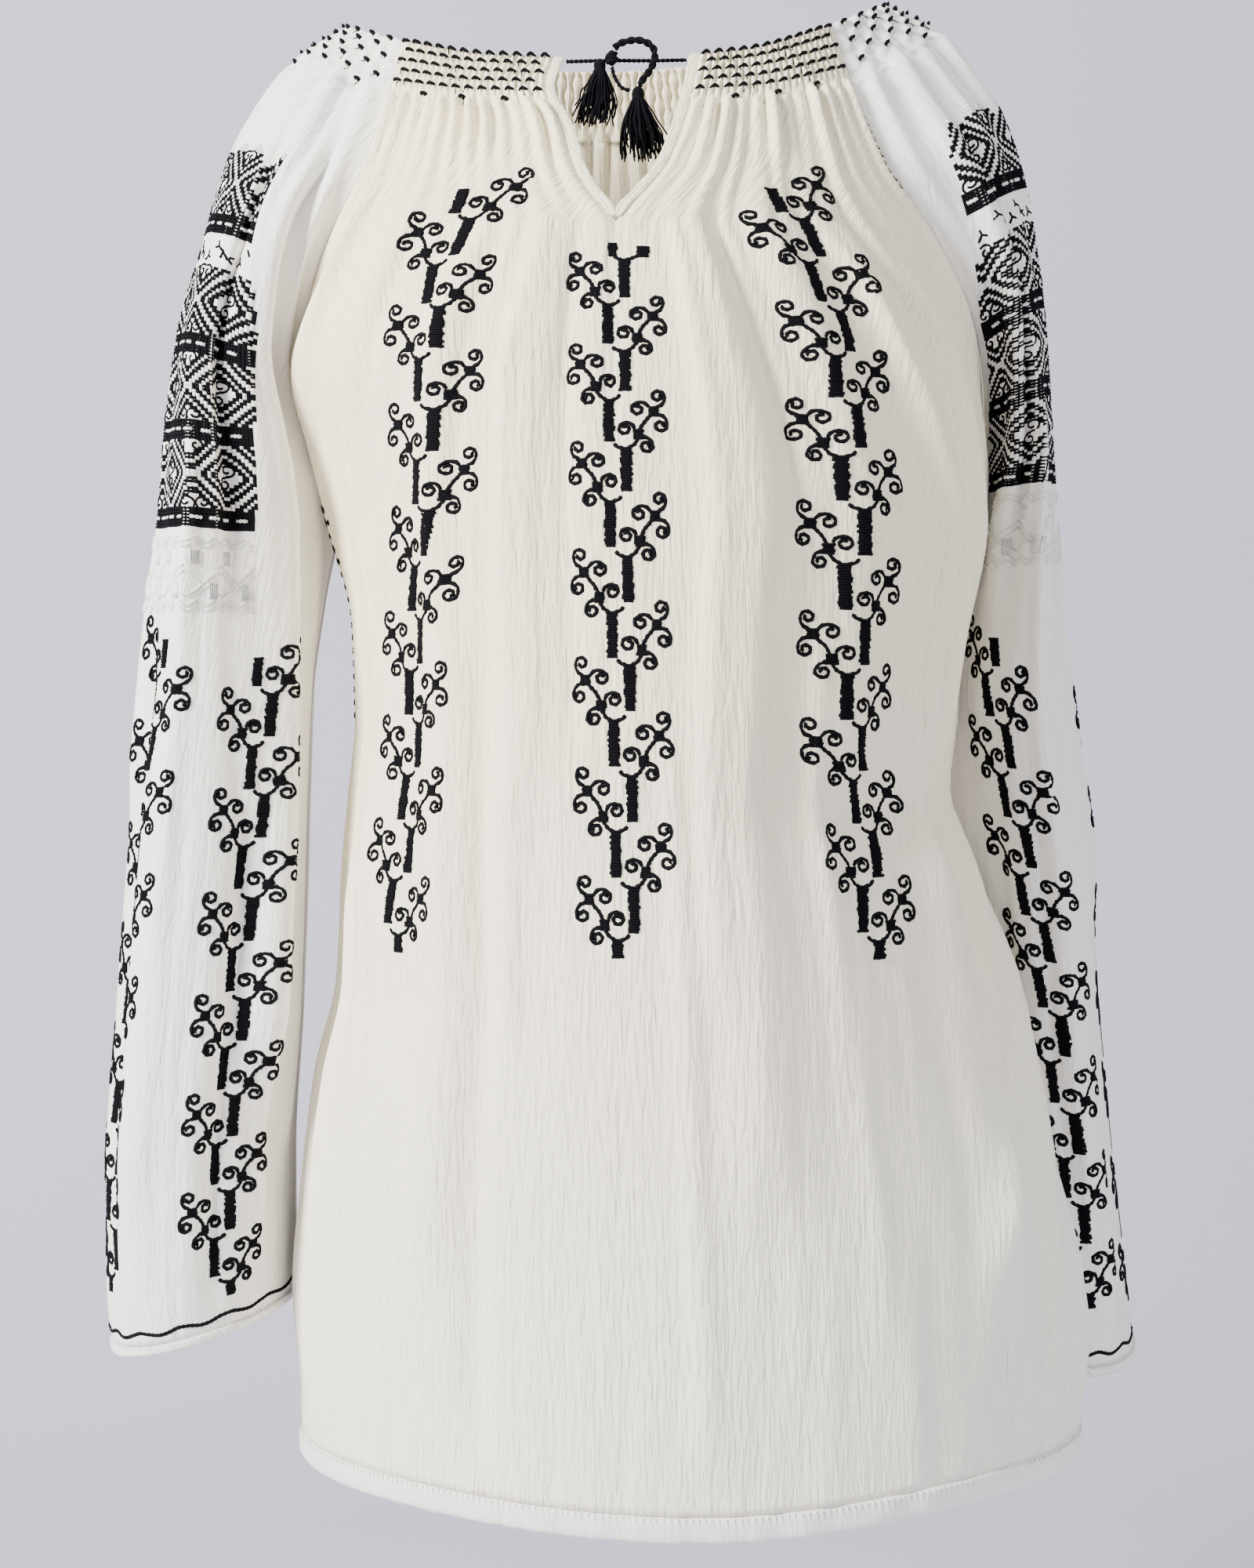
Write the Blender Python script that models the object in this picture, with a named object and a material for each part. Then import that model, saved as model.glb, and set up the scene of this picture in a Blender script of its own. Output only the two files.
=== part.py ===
"""A Romanian ie blouse in its worn, hollow form: the sewn pieces as thin closed walls.

Metres, +Z up, the front faces -Y. The origin is the middle of the neck opening at
shoulder height, where the wearer holds the blouse. The tables are in millimetres.
"""
import math
from collections import namedtuple

import bmesh
import bpy
import numpy as np

MM = 0.001
COLLECTION = "romanian_ie_blouse"

# Walls and seams, in millimetres
CLOTH = 1.4             # one layer of crepe with its crinkle
HEM_CLOTH = 2.4         # the rolled hem round the bottom
CUFF_CLOTH = 2.2        # the bound edge of a cuff
SLIT_CLOTH = 2.0        # the narrow turned hem of the slit
HEM_PUFF = 0.6          # how far each rolled edge bulges at its middle
CUFF_PUFF = 0.5
SLIT_PUFF = 0.3
SEAM_GAP = 0.34         # free space between two sewn pieces
ARM_GAP = 2.6           # free space between sleeve and body under the arm

# Levels, in millimetres of drop below the shoulder line
UNDERARM = 255.0
HEM_TOP = 710.0
HEM_END = 722.0
CUFF_BAND = 6.0

# Gathers round the neck
FRONT_PLEATS = 12       # on each side of the slit
BACK_PLEATS = 26
SLEEVE_PLEATS = 10
SMOCKED_DROPS = (0, 6, 12, 18, 24, 31)
RELEASED_DROPS = (44, 62, 80)
PLEAT_SWAY = 0.22       # how far a pleat leans to its stitched neighbour, in pleats
PleatHeight = namedtuple("PleatHeight", "drop height")
PLEAT_HEIGHTS = (PleatHeight(0, 1.0), PleatHeight(31, 1.8), PleatHeight(44, 2.0),
                 PleatHeight(62, 1.3), PleatHeight(80, 0.6))

# Columns of the plain cloth below the gathers
FRONT_COLUMNS = 15          # on each side of the middle
BACK_COLUMNS = 24
SLEEVE_COLUMNS = 12         # round the outside and the back of a sleeve
SLEEVE_FRONT_COLUMNS = 12   # round its front, where the deep folds are
SLEEVE_FRONT = 0.36         # the front's share of the ring

RAGLAN_DROPS = (94, 106, 128, 152, 178, 204, 230, 255)
BODY_DROPS = (280, 312, 350, 390, 430, 480, 535, 595, 655, 710)

# The slit
SLIT_HEM = 5.0
NOTCH_LAST = 94.0       # the last level with both edges apart
NOTCH_END = 106.0
SLIT_HEM_END = 103.0

# Body sections: widths at the sides and depths of front and back
Section = namedtuple("Section", "drop left right side front back")
BODY = (
    Section(0, -136, 135, 0, -85, 75),
    Section(45, -148, 150, 0, -108, 90),
    Section(100, -157, 169, 2, -128, 101),
    Section(170, -160, 184, 3, -141, 106),
    Section(215, -147, 185, 1, -145, 106),
    Section(255, -137, 184, 0, -147, 104),
    Section(310, -128, 173, 0, -147, 100),
    Section(350, -127, 167, 0, -147, 99),
    Section(390, -131, 158, 0, -147, 101),
    Section(430, -135, 176, 0, -148, 106),
    Section(480, -137, 192, 0, -150, 114),
    Section(530, -148, 204, 0, -152, 122),
    Section(600, -157, 221, 0, -155, 131),
    Section(660, -160, 229, 0, -158, 137),
    Section(722, -159, 234, 0, -161, 141),
)

# Where the raglan seams lie on a section, in degrees from +X
Seams = namedtuple("Seams", "drop front_left front_right back_left back_right")
SEAMS = (
    Seams(0, 220, 321, 141, 39),
    Seams(31, 221, 321, 142, 38),
    Seams(77, 217, 323, 146, 36),
    Seams(108, 208, 331, 151, 34),
    Seams(140, 198, 341, 158, 31),
    Seams(175, 188, 352, 164, 27),
    Seams(215, 178, 366, 167, 23),
    Seams(255, 170, 380, 170, 20),
)

# Where the side seams lie below the arms, in the same degrees
SideSeams = namedtuple("SideSeams", "drop left right")
SIDE_SEAMS = (SideSeams(255, 170, 20), SideSeams(350, 172, 15), SideSeams(722, 177, 8))

# Height of the neck edge round the neck
NeckEdge = namedtuple("NeckEdge", "angle height")
NECK = (
    NeckEdge(0, 10),
    NeckEdge(39, 6),
    NeckEdge(90, -3),
    NeckEdge(141, -4),
    NeckEdge(180, -1),
    NeckEdge(220, -20),
    NeckEdge(245, -33),
    NeckEdge(270, -37),
    NeckEdge(295, -31),
    NeckEdge(321, -12),
    NeckEdge(345, 4),
    NeckEdge(360, 10),
)

# How much higher the hem lies than its lowest level, round the body
HemLift = namedtuple("HemLift", "angle height")
HEM_LIFT = (
    HemLift(0, 3),
    HemLift(90, 3),
    HemLift(180, 3),
    HemLift(225, 6),
    HemLift(270, 2),
    HemLift(315, 9),
    HemLift(340, 7),
    HemLift(360, 3),
)
HEM_LIFT_FROM = 480.0

# The middle line of the front, and the edges of the slit
Middle = namedtuple("Middle", "drop across")
MIDDLE = (Middle(0, 3), Middle(100, 0), Middle(474, 5), Middle(722, 8))
Slit = namedtuple("Slit", "drop left right")
SLIT = (
    Slit(0, -25, 35),
    Slit(20, -29, 32),
    Slit(47, -20, 26),
    Slit(72, -14, 18),
    Slit(86, -8, 9),
    Slit(100, -0.2, 0.2),
    Slit(722, -0.2, 0.2),
)

# Sleeves: the outer line, the inner line below the arm, and the section's half depth.
# point is the power of the ring's shape: 1 is pointed at the seams, 2 is an oval.
Sleeve = namedtuple(
    "Sleeve", "drop outer_x outer_y outer_z inner_x inner_y inner_z half_depth point tilt")
SLEEVE_LEFT = (
    Sleeve(0, -136.5, 0, -1, 0, 0, 0, 0, 1.0, 0),
    Sleeve(31, -164, 0, -19, 0, 0, 0, 6, 1.0, 0),
    Sleeve(58, -182, 0, -42, 0, 0, 0, 14, 1.0, 0),
    Sleeve(80, -193, 0, -62, 0, 0, 0, 20, 1.0, 0),
    Sleeve(108, -202, 0, -90, 0, 0, 0, 28, 1.0, 0),
    Sleeve(140, -210, 0, -122, 0, 0, 0, 38, 1.0, 0),
    Sleeve(175, -217, 0, -158, 0, 0, 0, 48, 1.0, 0),
    Sleeve(215, -223, 0, -204, 0, 0, 0, 58, 1.0, 0),
    Sleeve(255, -227, 0, -250, -144, 22, -255, 65, 1.1, 0),
    Sleeve(290, -233, 0, -288, -151, 19, -290, 68, 1.4, 0),
    Sleeve(340, -239, 0, -340, -157, 11, -340, 71, 1.8, 0),
    Sleeve(420, -247, 0, -421, -159, 5, -419, 72, 2.0, 0),
    Sleeve(500, -253, 0, -502, -161, 2, -497, 72, 2.0, 0),
    Sleeve(580, -258, 0, -582, -165, 1, -571, 70, 2.0, 0),
    Sleeve(640, -257, 0, -640, -165, 3, -622, 68, 2.0, 0),
    Sleeve(672, -254, 0, -669, -165, 5, -645, 66, 2.0, 0),
)
SLEEVE_RIGHT = (
    Sleeve(0, 135.5, 0, 10, 0, 0, 0, 0, 1.0, 0),
    Sleeve(31, 163, 6, -2, 0, 0, 0, 6, 1.0, 0),
    Sleeve(58, 182, 9, -25, 0, 0, 0, 14, 1.0, 0),
    Sleeve(80, 195, 12, -44, 0, 0, 0, 20, 1.0, 0),
    Sleeve(108, 205, 14, -76, 0, 0, 0, 25, 1.0, 0),
    Sleeve(140, 210, 16, -112, 0, 0, 0, 31, 1.0, 0),
    Sleeve(175, 214, 18, -155, 0, 0, 0, 38, 1.0, 0),
    Sleeve(215, 218, 20, -204, 0, 0, 0, 46, 1.0, 0),
    Sleeve(255, 222, 24, -252, 178, 40, -255, 54, 1.1, 0),
    Sleeve(290, 227, 30, -290, 175, 48, -292, 59, 1.4, 1),
    Sleeve(340, 235, 40, -345, 172, 56, -342, 64, 1.8, 2),
    Sleeve(420, 249, 56, -428, 178, 66, -421, 68, 2.0, 3),
    Sleeve(500, 255, 67, -503, 184, 76, -500, 68, 2.0, 3),
    Sleeve(580, 264, 76, -583, 193, 84, -580, 67, 2.0, 3),
    Sleeve(640, 271, 81, -639, 200, 89, -640, 66, 2.0, 3),
    Sleeve(696, 278, 85, -690, 205, 93, -692, 64, 2.0, 3),
)
LEFT_END = SLEEVE_LEFT[-1].drop
RIGHT_END = SLEEVE_RIGHT[-1].drop
SLEEVE_DROPS = (283, 315, 350, 390, 435, 480, 525, 570, 615)

# Large soft folds. share is the place across the piece, lean pushes the crest sideways.
Fold = namedtuple("Fold", "share top bottom width depth lean")
FOLDS = {
    "front_left": (
        Fold(2 / 15, 120, 700, 0.05, 5.0, -1.0),
        Fold(5 / 15, 60, 560, 0.05, 5.0, 0.0),
        Fold(9 / 15, 90, 640, 0.055, 6.0, 1.0),
        Fold(12 / 15, 70, 420, 0.05, 5.0, 0.0),
    ),
    "front_right": (
        Fold(3 / 15, 80, 600, 0.055, 6.0, 0.0),
        Fold(6 / 15, 60, 420, 0.05, 5.0, 1.0),
        Fold(9 / 15, 90, 690, 0.055, 6.0, 0.0),
        Fold(13 / 15, 330, 720, 0.05, 5.0, 1.0),
    ),
    "back": (
        Fold(5 / 24, 90, 640, 0.030, 5.0, 0.0),
        Fold(8 / 24, 60, 700, 0.035, 7.0, 0.0),
        Fold(11 / 24, 70, 520, 0.030, 5.0, 0.0),
        Fold(14 / 24, 60, 660, 0.035, 7.0, 0.0),
        Fold(16.5 / 24, 80, 560, 0.040, 5.0, 0.0),
        Fold(19 / 24, 70, 690, 0.030, 5.0, 0.0),
    ),
    "sleeve_left": (
        Fold(0.885, 60, 560, 0.036, 10.0, -3.0),
        Fold(0.20, 80, 560, 0.040, 7.0, 0.0),
        Fold(0.34, 200, 672, 0.040, 5.0, 0.0),
        Fold(0.66, 330, 672, 0.040, 4.0, 0.0),
    ),
    "sleeve_right": (
        Fold(0.15, 60, 310, 0.042, 5.0, 1.0),
        Fold(0.78, 90, 600, 0.045, 4.0, 0.0),
        Fold(0.62, 200, 696, 0.040, 5.0, 0.0),
        Fold(0.34, 360, 696, 0.040, 4.0, 0.0),
    ),
}
FOLD_EASE = 70.0        # length over which a fold rises and dies

# The tie at the slit, in millimetres
DRAWSTRING_WIDTH = 2.0
BOW_WIDTH = 3.6
STRAND_WIDTH = 2.0
DRAWSTRING_ROUTE = ((-23.6, -85.2, -38.0), (-12, -87.3, -38.2), (-2, -88.1, -38.2),
                    (8, -87.8, -38.2), (20, -86.7, -37.9), (33.4, -85.0, -37.2))
KNOT_PLACE = (-2.0, -92.0, -38.0)
KNOT_SIZE = (3.6, 3.2, 4.0)
BOW_ROUTE = ((-0.6, -92.4, -33.2), (1.6, -92.6, -31.4), (5.2, -92.6, -30.2), (9.7, -92.6, -29.6),
             (14.2, -92.6, -30.6), (17.6, -92.6, -33.4), (18.4, -92.6, -37.4),
             (17.4, -92.6, -41.4), (15.4, -92.8, -45.0), (12.8, -93.0, -48.4), (11.0, -93.2, -51.2))
STRAND_ROUTE = ((-1.9, -92.1, -42.4), (-0.8, -92.6, -46.4), (1.0, -93.0, -50.2),
                (3.6, -93.2, -52.8), (6.4, -93.3, -53.6))

# Tassels: the head's place and size, and how its threads hang
Tassel = namedtuple("Tassel", "x y z head_radius head_height strands length spread lean_x")
TASSEL_LEFT = Tassel(-7.7, -92.4, -41.9, 3.0, 7.0, 24, 27.0, 9.0, -3.0)
TASSEL_RIGHT = Tassel(10.4, -93.4, -55.8, 3.2, 8.0, 24, 30.0, 11.0, 3.0)
THREAD_RADIUS = 0.42

# Facets of the cords, the knot and the tassels
DRAWSTRING_POINTS = 12
BOW_POINTS = 16
STRAND_POINTS = 8
ROUND_SEGMENTS = 12
ROUND_RINGS = 8
THREAD_LEVELS = 4
THREAD_SIDES = 3

# Finishes
CLOTH_ROUGHNESS = 0.85
CORD_ROUGHNESS = 0.7
CREAM = (0.86, 0.82, 0.72)
WHITE = (0.87, 0.86, 0.82)
BLACK = (0.012, 0.012, 0.016)


def read(table, name, place):
    """Read a column of a table at one place, on a smooth curve through its rows."""
    known = np.array([row[0] for row in table], dtype=float)
    values = np.array([getattr(row, name) for row in table], dtype=float)
    steps = np.diff(known)
    slopes = np.diff(values) / steps
    tangents = np.concatenate(([slopes[0]], np.zeros(len(slopes) - 1), [slopes[-1]]))
    rising = slopes[:-1] * slopes[1:] > 0
    product = 2 * slopes[:-1] * slopes[1:]
    total = np.where(rising, slopes[:-1] + slopes[1:], 1.0)
    tangents[1:-1] = np.where(rising, product / total, 0.0)
    place = np.clip(place, known[0], known[-1])
    index = np.clip(np.searchsorted(known, place, side="right") - 1, 0, len(steps) - 1)
    part = (place - known[index]) / steps[index]
    start = values[index] * (1 + 2 * part) * (1 - part) ** 2
    end = values[index + 1] * part ** 2 * (3 - 2 * part)
    leave = steps[index] * tangents[index] * part * (1 - part) ** 2
    arrive = steps[index] * tangents[index + 1] * part ** 2 * (part - 1)
    return start + end + leave + arrive


def ease(value, low, high):
    """Go smoothly from 0 at low to 1 at high."""
    part = np.clip((value - low) / (high - low), 0.0, 1.0)
    return part * part * (3 - 2 * part)


def unit(vectors):
    """Scale each row of vectors to length 1."""
    lengths = np.linalg.norm(vectors, axis=-1, keepdims=True)
    return vectors / np.maximum(lengths, 1e-9)


def seam_angle(name, drop):
    """The angle of one edge of the front or the back: its raglan seam, then its side seam."""
    if drop <= UNDERARM:
        return read(SEAMS, name, drop)
    side = "left" if name.endswith("left") else "right"
    return read(SIDE_SEAMS, side, drop) + (360 if name == "front_right" else 0)


def body_point(drop, angle):
    """Points of the body's section at one drop, at angles in degrees from +X."""
    left, right, side, front, back = (read(BODY, name, drop) for name in BODY[0]._fields[1:])
    turn = np.radians(angle)
    across = np.cos(turn)
    deep = np.sin(turn)
    depth = np.where(deep < 0, side - front, back - side)
    fade = max(0.0, 1 - drop / UNDERARM) ** 1.5
    around = np.mod(angle, 360)
    lift = read(NECK, "height", around) * fade
    lift = lift + read(HEM_LIFT, "height", around) * ease(drop, HEM_LIFT_FROM, HEM_END)
    x = (left + right) / 2 + (right - left) / 2 * across
    y = side + depth * deep
    return np.stack([x, y, lift - drop + 0 * x], axis=-1)


def front_angle(drop, x):
    """The angle of the front's point that lies x across."""
    left = read(BODY, "left", drop)
    right = read(BODY, "right", drop)
    return 270 + math.degrees(math.asin((x - (left + right) / 2) / ((right - left) / 2)))


def notch(drop, edge):
    """Where the front's cloth ends beside the slit: its turned hem lies between."""
    outward = -SLIT_HEM if edge == "left" else SLIT_HEM
    last = read(SLIT, edge, NOTCH_LAST) + outward
    if drop <= NOTCH_LAST:
        return read(SLIT, edge, drop) + outward
    return last * max(0.0, NOTCH_END - drop) / (NOTCH_END - NOTCH_LAST)


def front_left(drop, share):
    """The front from its left seam to the slit or the middle."""
    start = seam_angle("front_left", drop)
    x = notch(drop, "left") if drop < NOTCH_END else read(MIDDLE, "across", drop)
    return body_point(drop, start + (front_angle(drop, x) - start) * share)


def front_right(drop, share):
    """The front from the slit or the middle to its right seam."""
    end = seam_angle("front_right", drop)
    x = notch(drop, "right") if drop < NOTCH_END else read(MIDDLE, "across", drop)
    start = front_angle(drop, x)
    return body_point(drop, start + (end - start) * share)


def back(drop, share):
    """The back from its right seam to its left seam."""
    start = seam_angle("back_right", drop)
    end = seam_angle("back_left", drop)
    return body_point(drop, start + (end - start) * share)


def arm_gap(drop):
    """How far a sleeve keeps off the body at the seam: nothing above, its gap under the arm."""
    return ARM_GAP * ease(drop, 150, 205)


def clear_of_body(points, share, gap):
    """Push points out of the body's section, softly, to lie at least gap outside it."""
    x, y, z = points.T
    drop = np.minimum(-z, HEM_END)
    left, right, side, front, rear = (read(BODY, name, drop) for name in BODY[0]._fields[1:])
    middle = (left + right) / 2
    width = (right - left) / 2
    depth = np.where(y < side, side - front, rear - side)
    away = np.hypot((x - middle) / width, (y - side) / depth)
    least = 1 + gap / np.minimum(width, depth)
    soft = 0.05 * np.sin(np.pi * share)
    kept = least + 0.5 * (away - least + np.hypot(away - least, soft))
    return np.stack([middle + (x - middle) * kept / away, side + (y - side) * kept / away, z], axis=-1)


def sleeve(table, drop, share):
    """A sleeve's section: an arc between its two seams, and a ring below the arm.

    share runs from the back seam to the front one on the left sleeve, and from the
    front seam to the back one on the right sleeve.
    """
    is_left = table is SLEEVE_LEFT
    seams = ("back_left", "front_left") if is_left else ("front_right", "back_right")
    toward = 1 if is_left else -1
    outer = np.array([read(table, name, drop) for name in ("outer_x", "outer_y", "outer_z")])
    if drop <= UNDERARM:
        ends = []
        for seam in seams:
            angle = seam_angle(seam, drop)
            turn = math.radians(angle)
            away = np.array([math.cos(turn), math.sin(turn), 0.0])
            ends.append(body_point(drop, angle) + away * arm_gap(drop))
        first, last = ends
    else:
        rings = tuple(row for row in table if row.drop >= UNDERARM)
        first = np.array([read(rings, name, drop) for name in ("inner_x", "inner_y", "inner_z")])
        last = first
    share = np.asarray(share, dtype=float)[:, None]
    bulge = np.sin(np.pi * share) ** read(table, "point", drop)
    swing = np.sin(2 * np.pi * share) * toward
    half = read(table, "half_depth", drop)
    tilt = read(table, "tilt", drop)
    points = first + (last - first) * share + (outer - (first + last) / 2) * bulge
    points = points + swing * np.array([0.0, half, tilt])
    if drop > 150:
        points = clear_of_body(points, share[:, 0], arm_gap(drop))
    return points


class Cloth:
    """One piece of cloth as a surface over drop and share, with its large folds."""

    def __init__(self, curve, folds, ring_from=None):
        self.curve = curve
        self.folds = folds
        self.ring_from = ring_from

    def is_ring(self, drop):
        return self.ring_from is not None and drop >= self.ring_from

    def plain(self, drop, share):
        """Points along the piece's own line, evenly spaced on the front and the back.

        A sleeve keeps its own spacing, so that its columns stay in line down its length.
        """
        if self.ring_from is not None:
            return self.curve(drop, share)
        steps = np.linspace(0, 1, 81)
        line = self.curve(drop, steps)
        lengths = np.linalg.norm(np.diff(line, axis=0), axis=1)
        walked = np.concatenate(([0.0], np.cumsum(lengths)))
        return self.curve(drop, np.interp(share, walked / walked[-1], steps))

    def slopes(self, surface, drop, share):
        """The directions along and down a surface."""
        step = 0.004
        ahead = share + step
        behind = share - step
        if self.is_ring(drop):
            ahead = np.mod(ahead, 1.0)
            behind = np.mod(behind, 1.0)
        ahead = np.clip(ahead, 0.0, 1.0)
        behind = np.clip(behind, 0.0, 1.0)
        along = surface(drop, ahead) - surface(drop, behind)
        above = drop if self.is_ring(drop) else max(drop - 2.0, 0.0)
        down = surface(drop + 2.0, share) - surface(above, share)
        return unit(along), unit(down)

    def folded(self, drop, share):
        """Points with the large folds raised along the plain surface's normal."""
        share = np.asarray(share, dtype=float)
        along, down = self.slopes(self.plain, drop, share)
        out = unit(np.cross(down, along))
        points = self.plain(drop, share)
        for fold in self.folds:
            live = ease(drop, fold.top, fold.top + FOLD_EASE)
            live = live * (1 - ease(drop, fold.bottom - FOLD_EASE, fold.bottom))
            rise = live * np.exp(-((share - fold.share) / fold.width) ** 2)
            points = points + out * (fold.depth * rise)[:, None]
            points = points + along * (fold.lean * rise)[:, None]
        return points

    def normals(self, drop, share):
        along, down = self.slopes(self.folded, drop, np.asarray(share, dtype=float))
        return unit(np.cross(down, along))


Row = namedtuple("Row", "indices shares")


class Wall:
    """A closed wall round a net of points, with relief on its outer side alone."""

    def __init__(self):
        self.points = []
        self.normals = []
        self.relief = []
        self.faces = []

    def row(self, points, normals, relief):
        first = len(self.points)
        self.points.extend(points)
        self.normals.extend(normals)
        self.relief.extend(relief)
        return list(range(first, first + len(points)))

    def strip(self, upper, lower):
        """Fill between two rows, also where they differ in their number of points."""
        a = 0
        b = 0
        last_a = len(upper.indices) - 1
        last_b = len(lower.indices) - 1
        while a < last_a or b < last_b:
            next_a = upper.shares[a + 1] if a < last_a else 2.0
            next_b = lower.shares[b + 1] if b < last_b else 2.0
            if next_a <= next_b:
                self.faces.append((upper.indices[a], lower.indices[b], upper.indices[a + 1]))
                a += 1
            else:
                self.faces.append((upper.indices[a], lower.indices[b], lower.indices[b + 1]))
                b += 1

    def fill(self, rows):
        """Fill between all rows of a piece, from the top down."""
        for upper, lower in zip(rows, rows[1:]):
            self.strip(upper, lower)

    def solid(self, name, thickness, color, collection):
        """Thicken the net to a closed mesh and make its object."""
        points = np.array(self.points)
        normals = unit(np.array(self.normals))
        relief = np.array(self.relief)[:, None]
        outer = points + normals * (thickness / 2 + relief)
        inner = points - normals * thickness / 2
        count = len(points)
        faces = list(self.faces)
        faces += [tuple(index + count for index in reversed(face)) for face in self.faces]
        edges = {}
        for face in self.faces:
            for start, end in zip(face, face[1:] + face[:1]):
                edges[(start, end)] = (end, start)
        for (start, end), opposite in edges.items():
            if opposite not in edges:
                faces.append((end, start, start + count))
                faces.append((end, start + count, end + count))
        mesh = bpy.data.meshes.new(name)
        mesh.from_pydata((np.vstack([outer, inner]) * MM).tolist(), [], faces)
        mesh.update()
        return make_object(name, mesh, color, collection)


def make_material(name, color, roughness):
    """A plain cloth or thread finish."""
    material = bpy.data.materials.new(name)
    material.use_nodes = True
    shader = material.node_tree.nodes["Principled BSDF"]
    shader.inputs["Base Color"].default_value = (*color, 1.0)
    shader.inputs["Roughness"].default_value = roughness
    shader.inputs["Metallic"].default_value = 0.0
    return material


def make_object(name, mesh, color, collection):
    """Put a mesh in the scene with its own finish and smooth shading."""
    mesh.materials.append(make_material(name, color, CLOTH_ROUGHNESS))
    mesh.shade_smooth()
    mesh.set_sharp_from_angle(angle=math.radians(50))
    made = bpy.data.objects.new(name, mesh)
    collection.objects.link(made)
    return made


def even(columns):
    """Shares of evenly spaced columns."""
    return np.linspace(0, 1, columns + 1)


def sleeve_shares(is_left):
    """Shares of a sleeve's columns, closer together round its front."""
    front = even(SLEEVE_FRONT_COLUMNS) * SLEEVE_FRONT
    rest = SLEEVE_FRONT + even(SLEEVE_COLUMNS)[1:] * (1 - SLEEVE_FRONT)
    share = np.concatenate((front, rest))
    return 1 - share[::-1] if is_left else share


def gathered_shares(pleats, level):
    """Shares of valleys and crests, where neighbours are stitched together by turns."""
    share = even(2 * pleats)
    if level < len(SMOCKED_DROPS):
        crest = np.arange(1, 2 * pleats, 2)
        side = np.where((crest // 2 + level) % 2 == 0, 1.0, -1.0)
        share[crest] += side * PLEAT_SWAY / pleats
    return share


def pleat_relief(pleats, drop):
    """Height of the crests over the plain wall."""
    height = np.zeros(2 * pleats + 1)
    height[1::2] = read(PLEAT_HEIGHTS, "height", drop)
    return height


def inset(cloth, drop, share):
    """Move a piece's end columns in from its seams by half the seam's gap."""
    line = cloth.plain(drop, even(40))
    length = np.linalg.norm(np.diff(line, axis=0), axis=1).sum()
    step = SEAM_GAP / 2 / length
    return np.clip(share, step, 1 - step)


def seam_normal(cloth, end, other, other_end, drop):
    """The direction that two sewn pieces share at their seam.

    Near the underarm a sleeve lies apart from the body, and each keeps its own.
    """
    own = cloth.normals(drop, [end])[0]
    neighbour = other.normals(drop, [other_end])[0]
    shared = unit(own + neighbour)
    if cloth.ring_from is None and other.ring_from is None:
        return shared
    apart = ease(drop, 175, 215)
    return unit(shared * (1 - apart) + own * apart)


def add_row(wall, cloth, drop, share, relief, ends, start=None):
    """Add one row of a piece, with shared normals where a neighbour is sewn on.

    ends maps 0 or 1 to the neighbour and its own end at that seam. start is the
    index of a point made before, which this row begins with.
    """
    kept = inset(cloth, drop, share)
    for side in (0, 1):
        if side not in ends:
            kept[-side] = share[-side]
    points = cloth.folded(drop, kept)
    normals = cloth.normals(drop, kept)
    for side, (other, other_end) in ends.items():
        normals[-side] = seam_normal(cloth, side, other, other_end, drop)
    if start is not None:
        return Row([start] + wall.row(points[1:], normals[1:], relief[1:]), share)
    return Row(wall.row(points, normals, relief), share)


def add_ring(wall, cloth, drop, share, puff=0.0):
    """Add one closed row of a sleeve."""
    kept = share[:-1]
    relief = np.full(len(kept), puff)
    indices = wall.row(cloth.folded(drop, kept), cloth.normals(drop, kept), relief)
    return Row(indices + indices[:1], share)


def gathered_levels():
    """Drops with pleats, from the neck edge down."""
    return list(enumerate(SMOCKED_DROPS + RELEASED_DROPS))


def build_front(pieces, collection):
    """The front: two halves apart beside the slit, one cloth below it."""
    wall = Wall()
    left = pieces["front_left"]
    right = pieces["front_right"]
    left_rows = []
    right_rows = []
    for level, drop in gathered_levels():
        share = gathered_shares(FRONT_PLEATS, level)
        relief = pleat_relief(FRONT_PLEATS, drop)
        seam = {0: (pieces["sleeve_left"], 1)}
        left_rows.append(add_row(wall, left, drop, share, relief, seam))
        seam = {1: (pieces["sleeve_right"], 0)}
        right_rows.append(add_row(wall, right, drop, share, relief, seam))
    share = even(FRONT_COLUMNS)
    flat = np.zeros(FRONT_COLUMNS + 1)
    for drop in RAGLAN_DROPS + BODY_DROPS[:-1] + (HEM_TOP,):
        if drop <= UNDERARM:
            left_seam = {0: (pieces["sleeve_left"], 1)}
            right_seam = {1: (pieces["sleeve_right"], 0)}
        else:
            left_seam = {0: (pieces["back"], 1)}
            right_seam = {1: (pieces["back"], 0)}
        left_rows.append(add_row(wall, left, drop, share, flat, left_seam))
        if drop < NOTCH_END:
            right_rows.append(add_row(wall, right, drop, share, flat, right_seam))
        else:
            middle = left_rows[-1].indices[-1]
            right_rows.append(add_row(wall, right, drop, share, flat, right_seam, middle))
    wall.fill(left_rows)
    wall.fill(right_rows)
    return wall.solid("front_panel", CLOTH, CREAM, collection)


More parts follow.
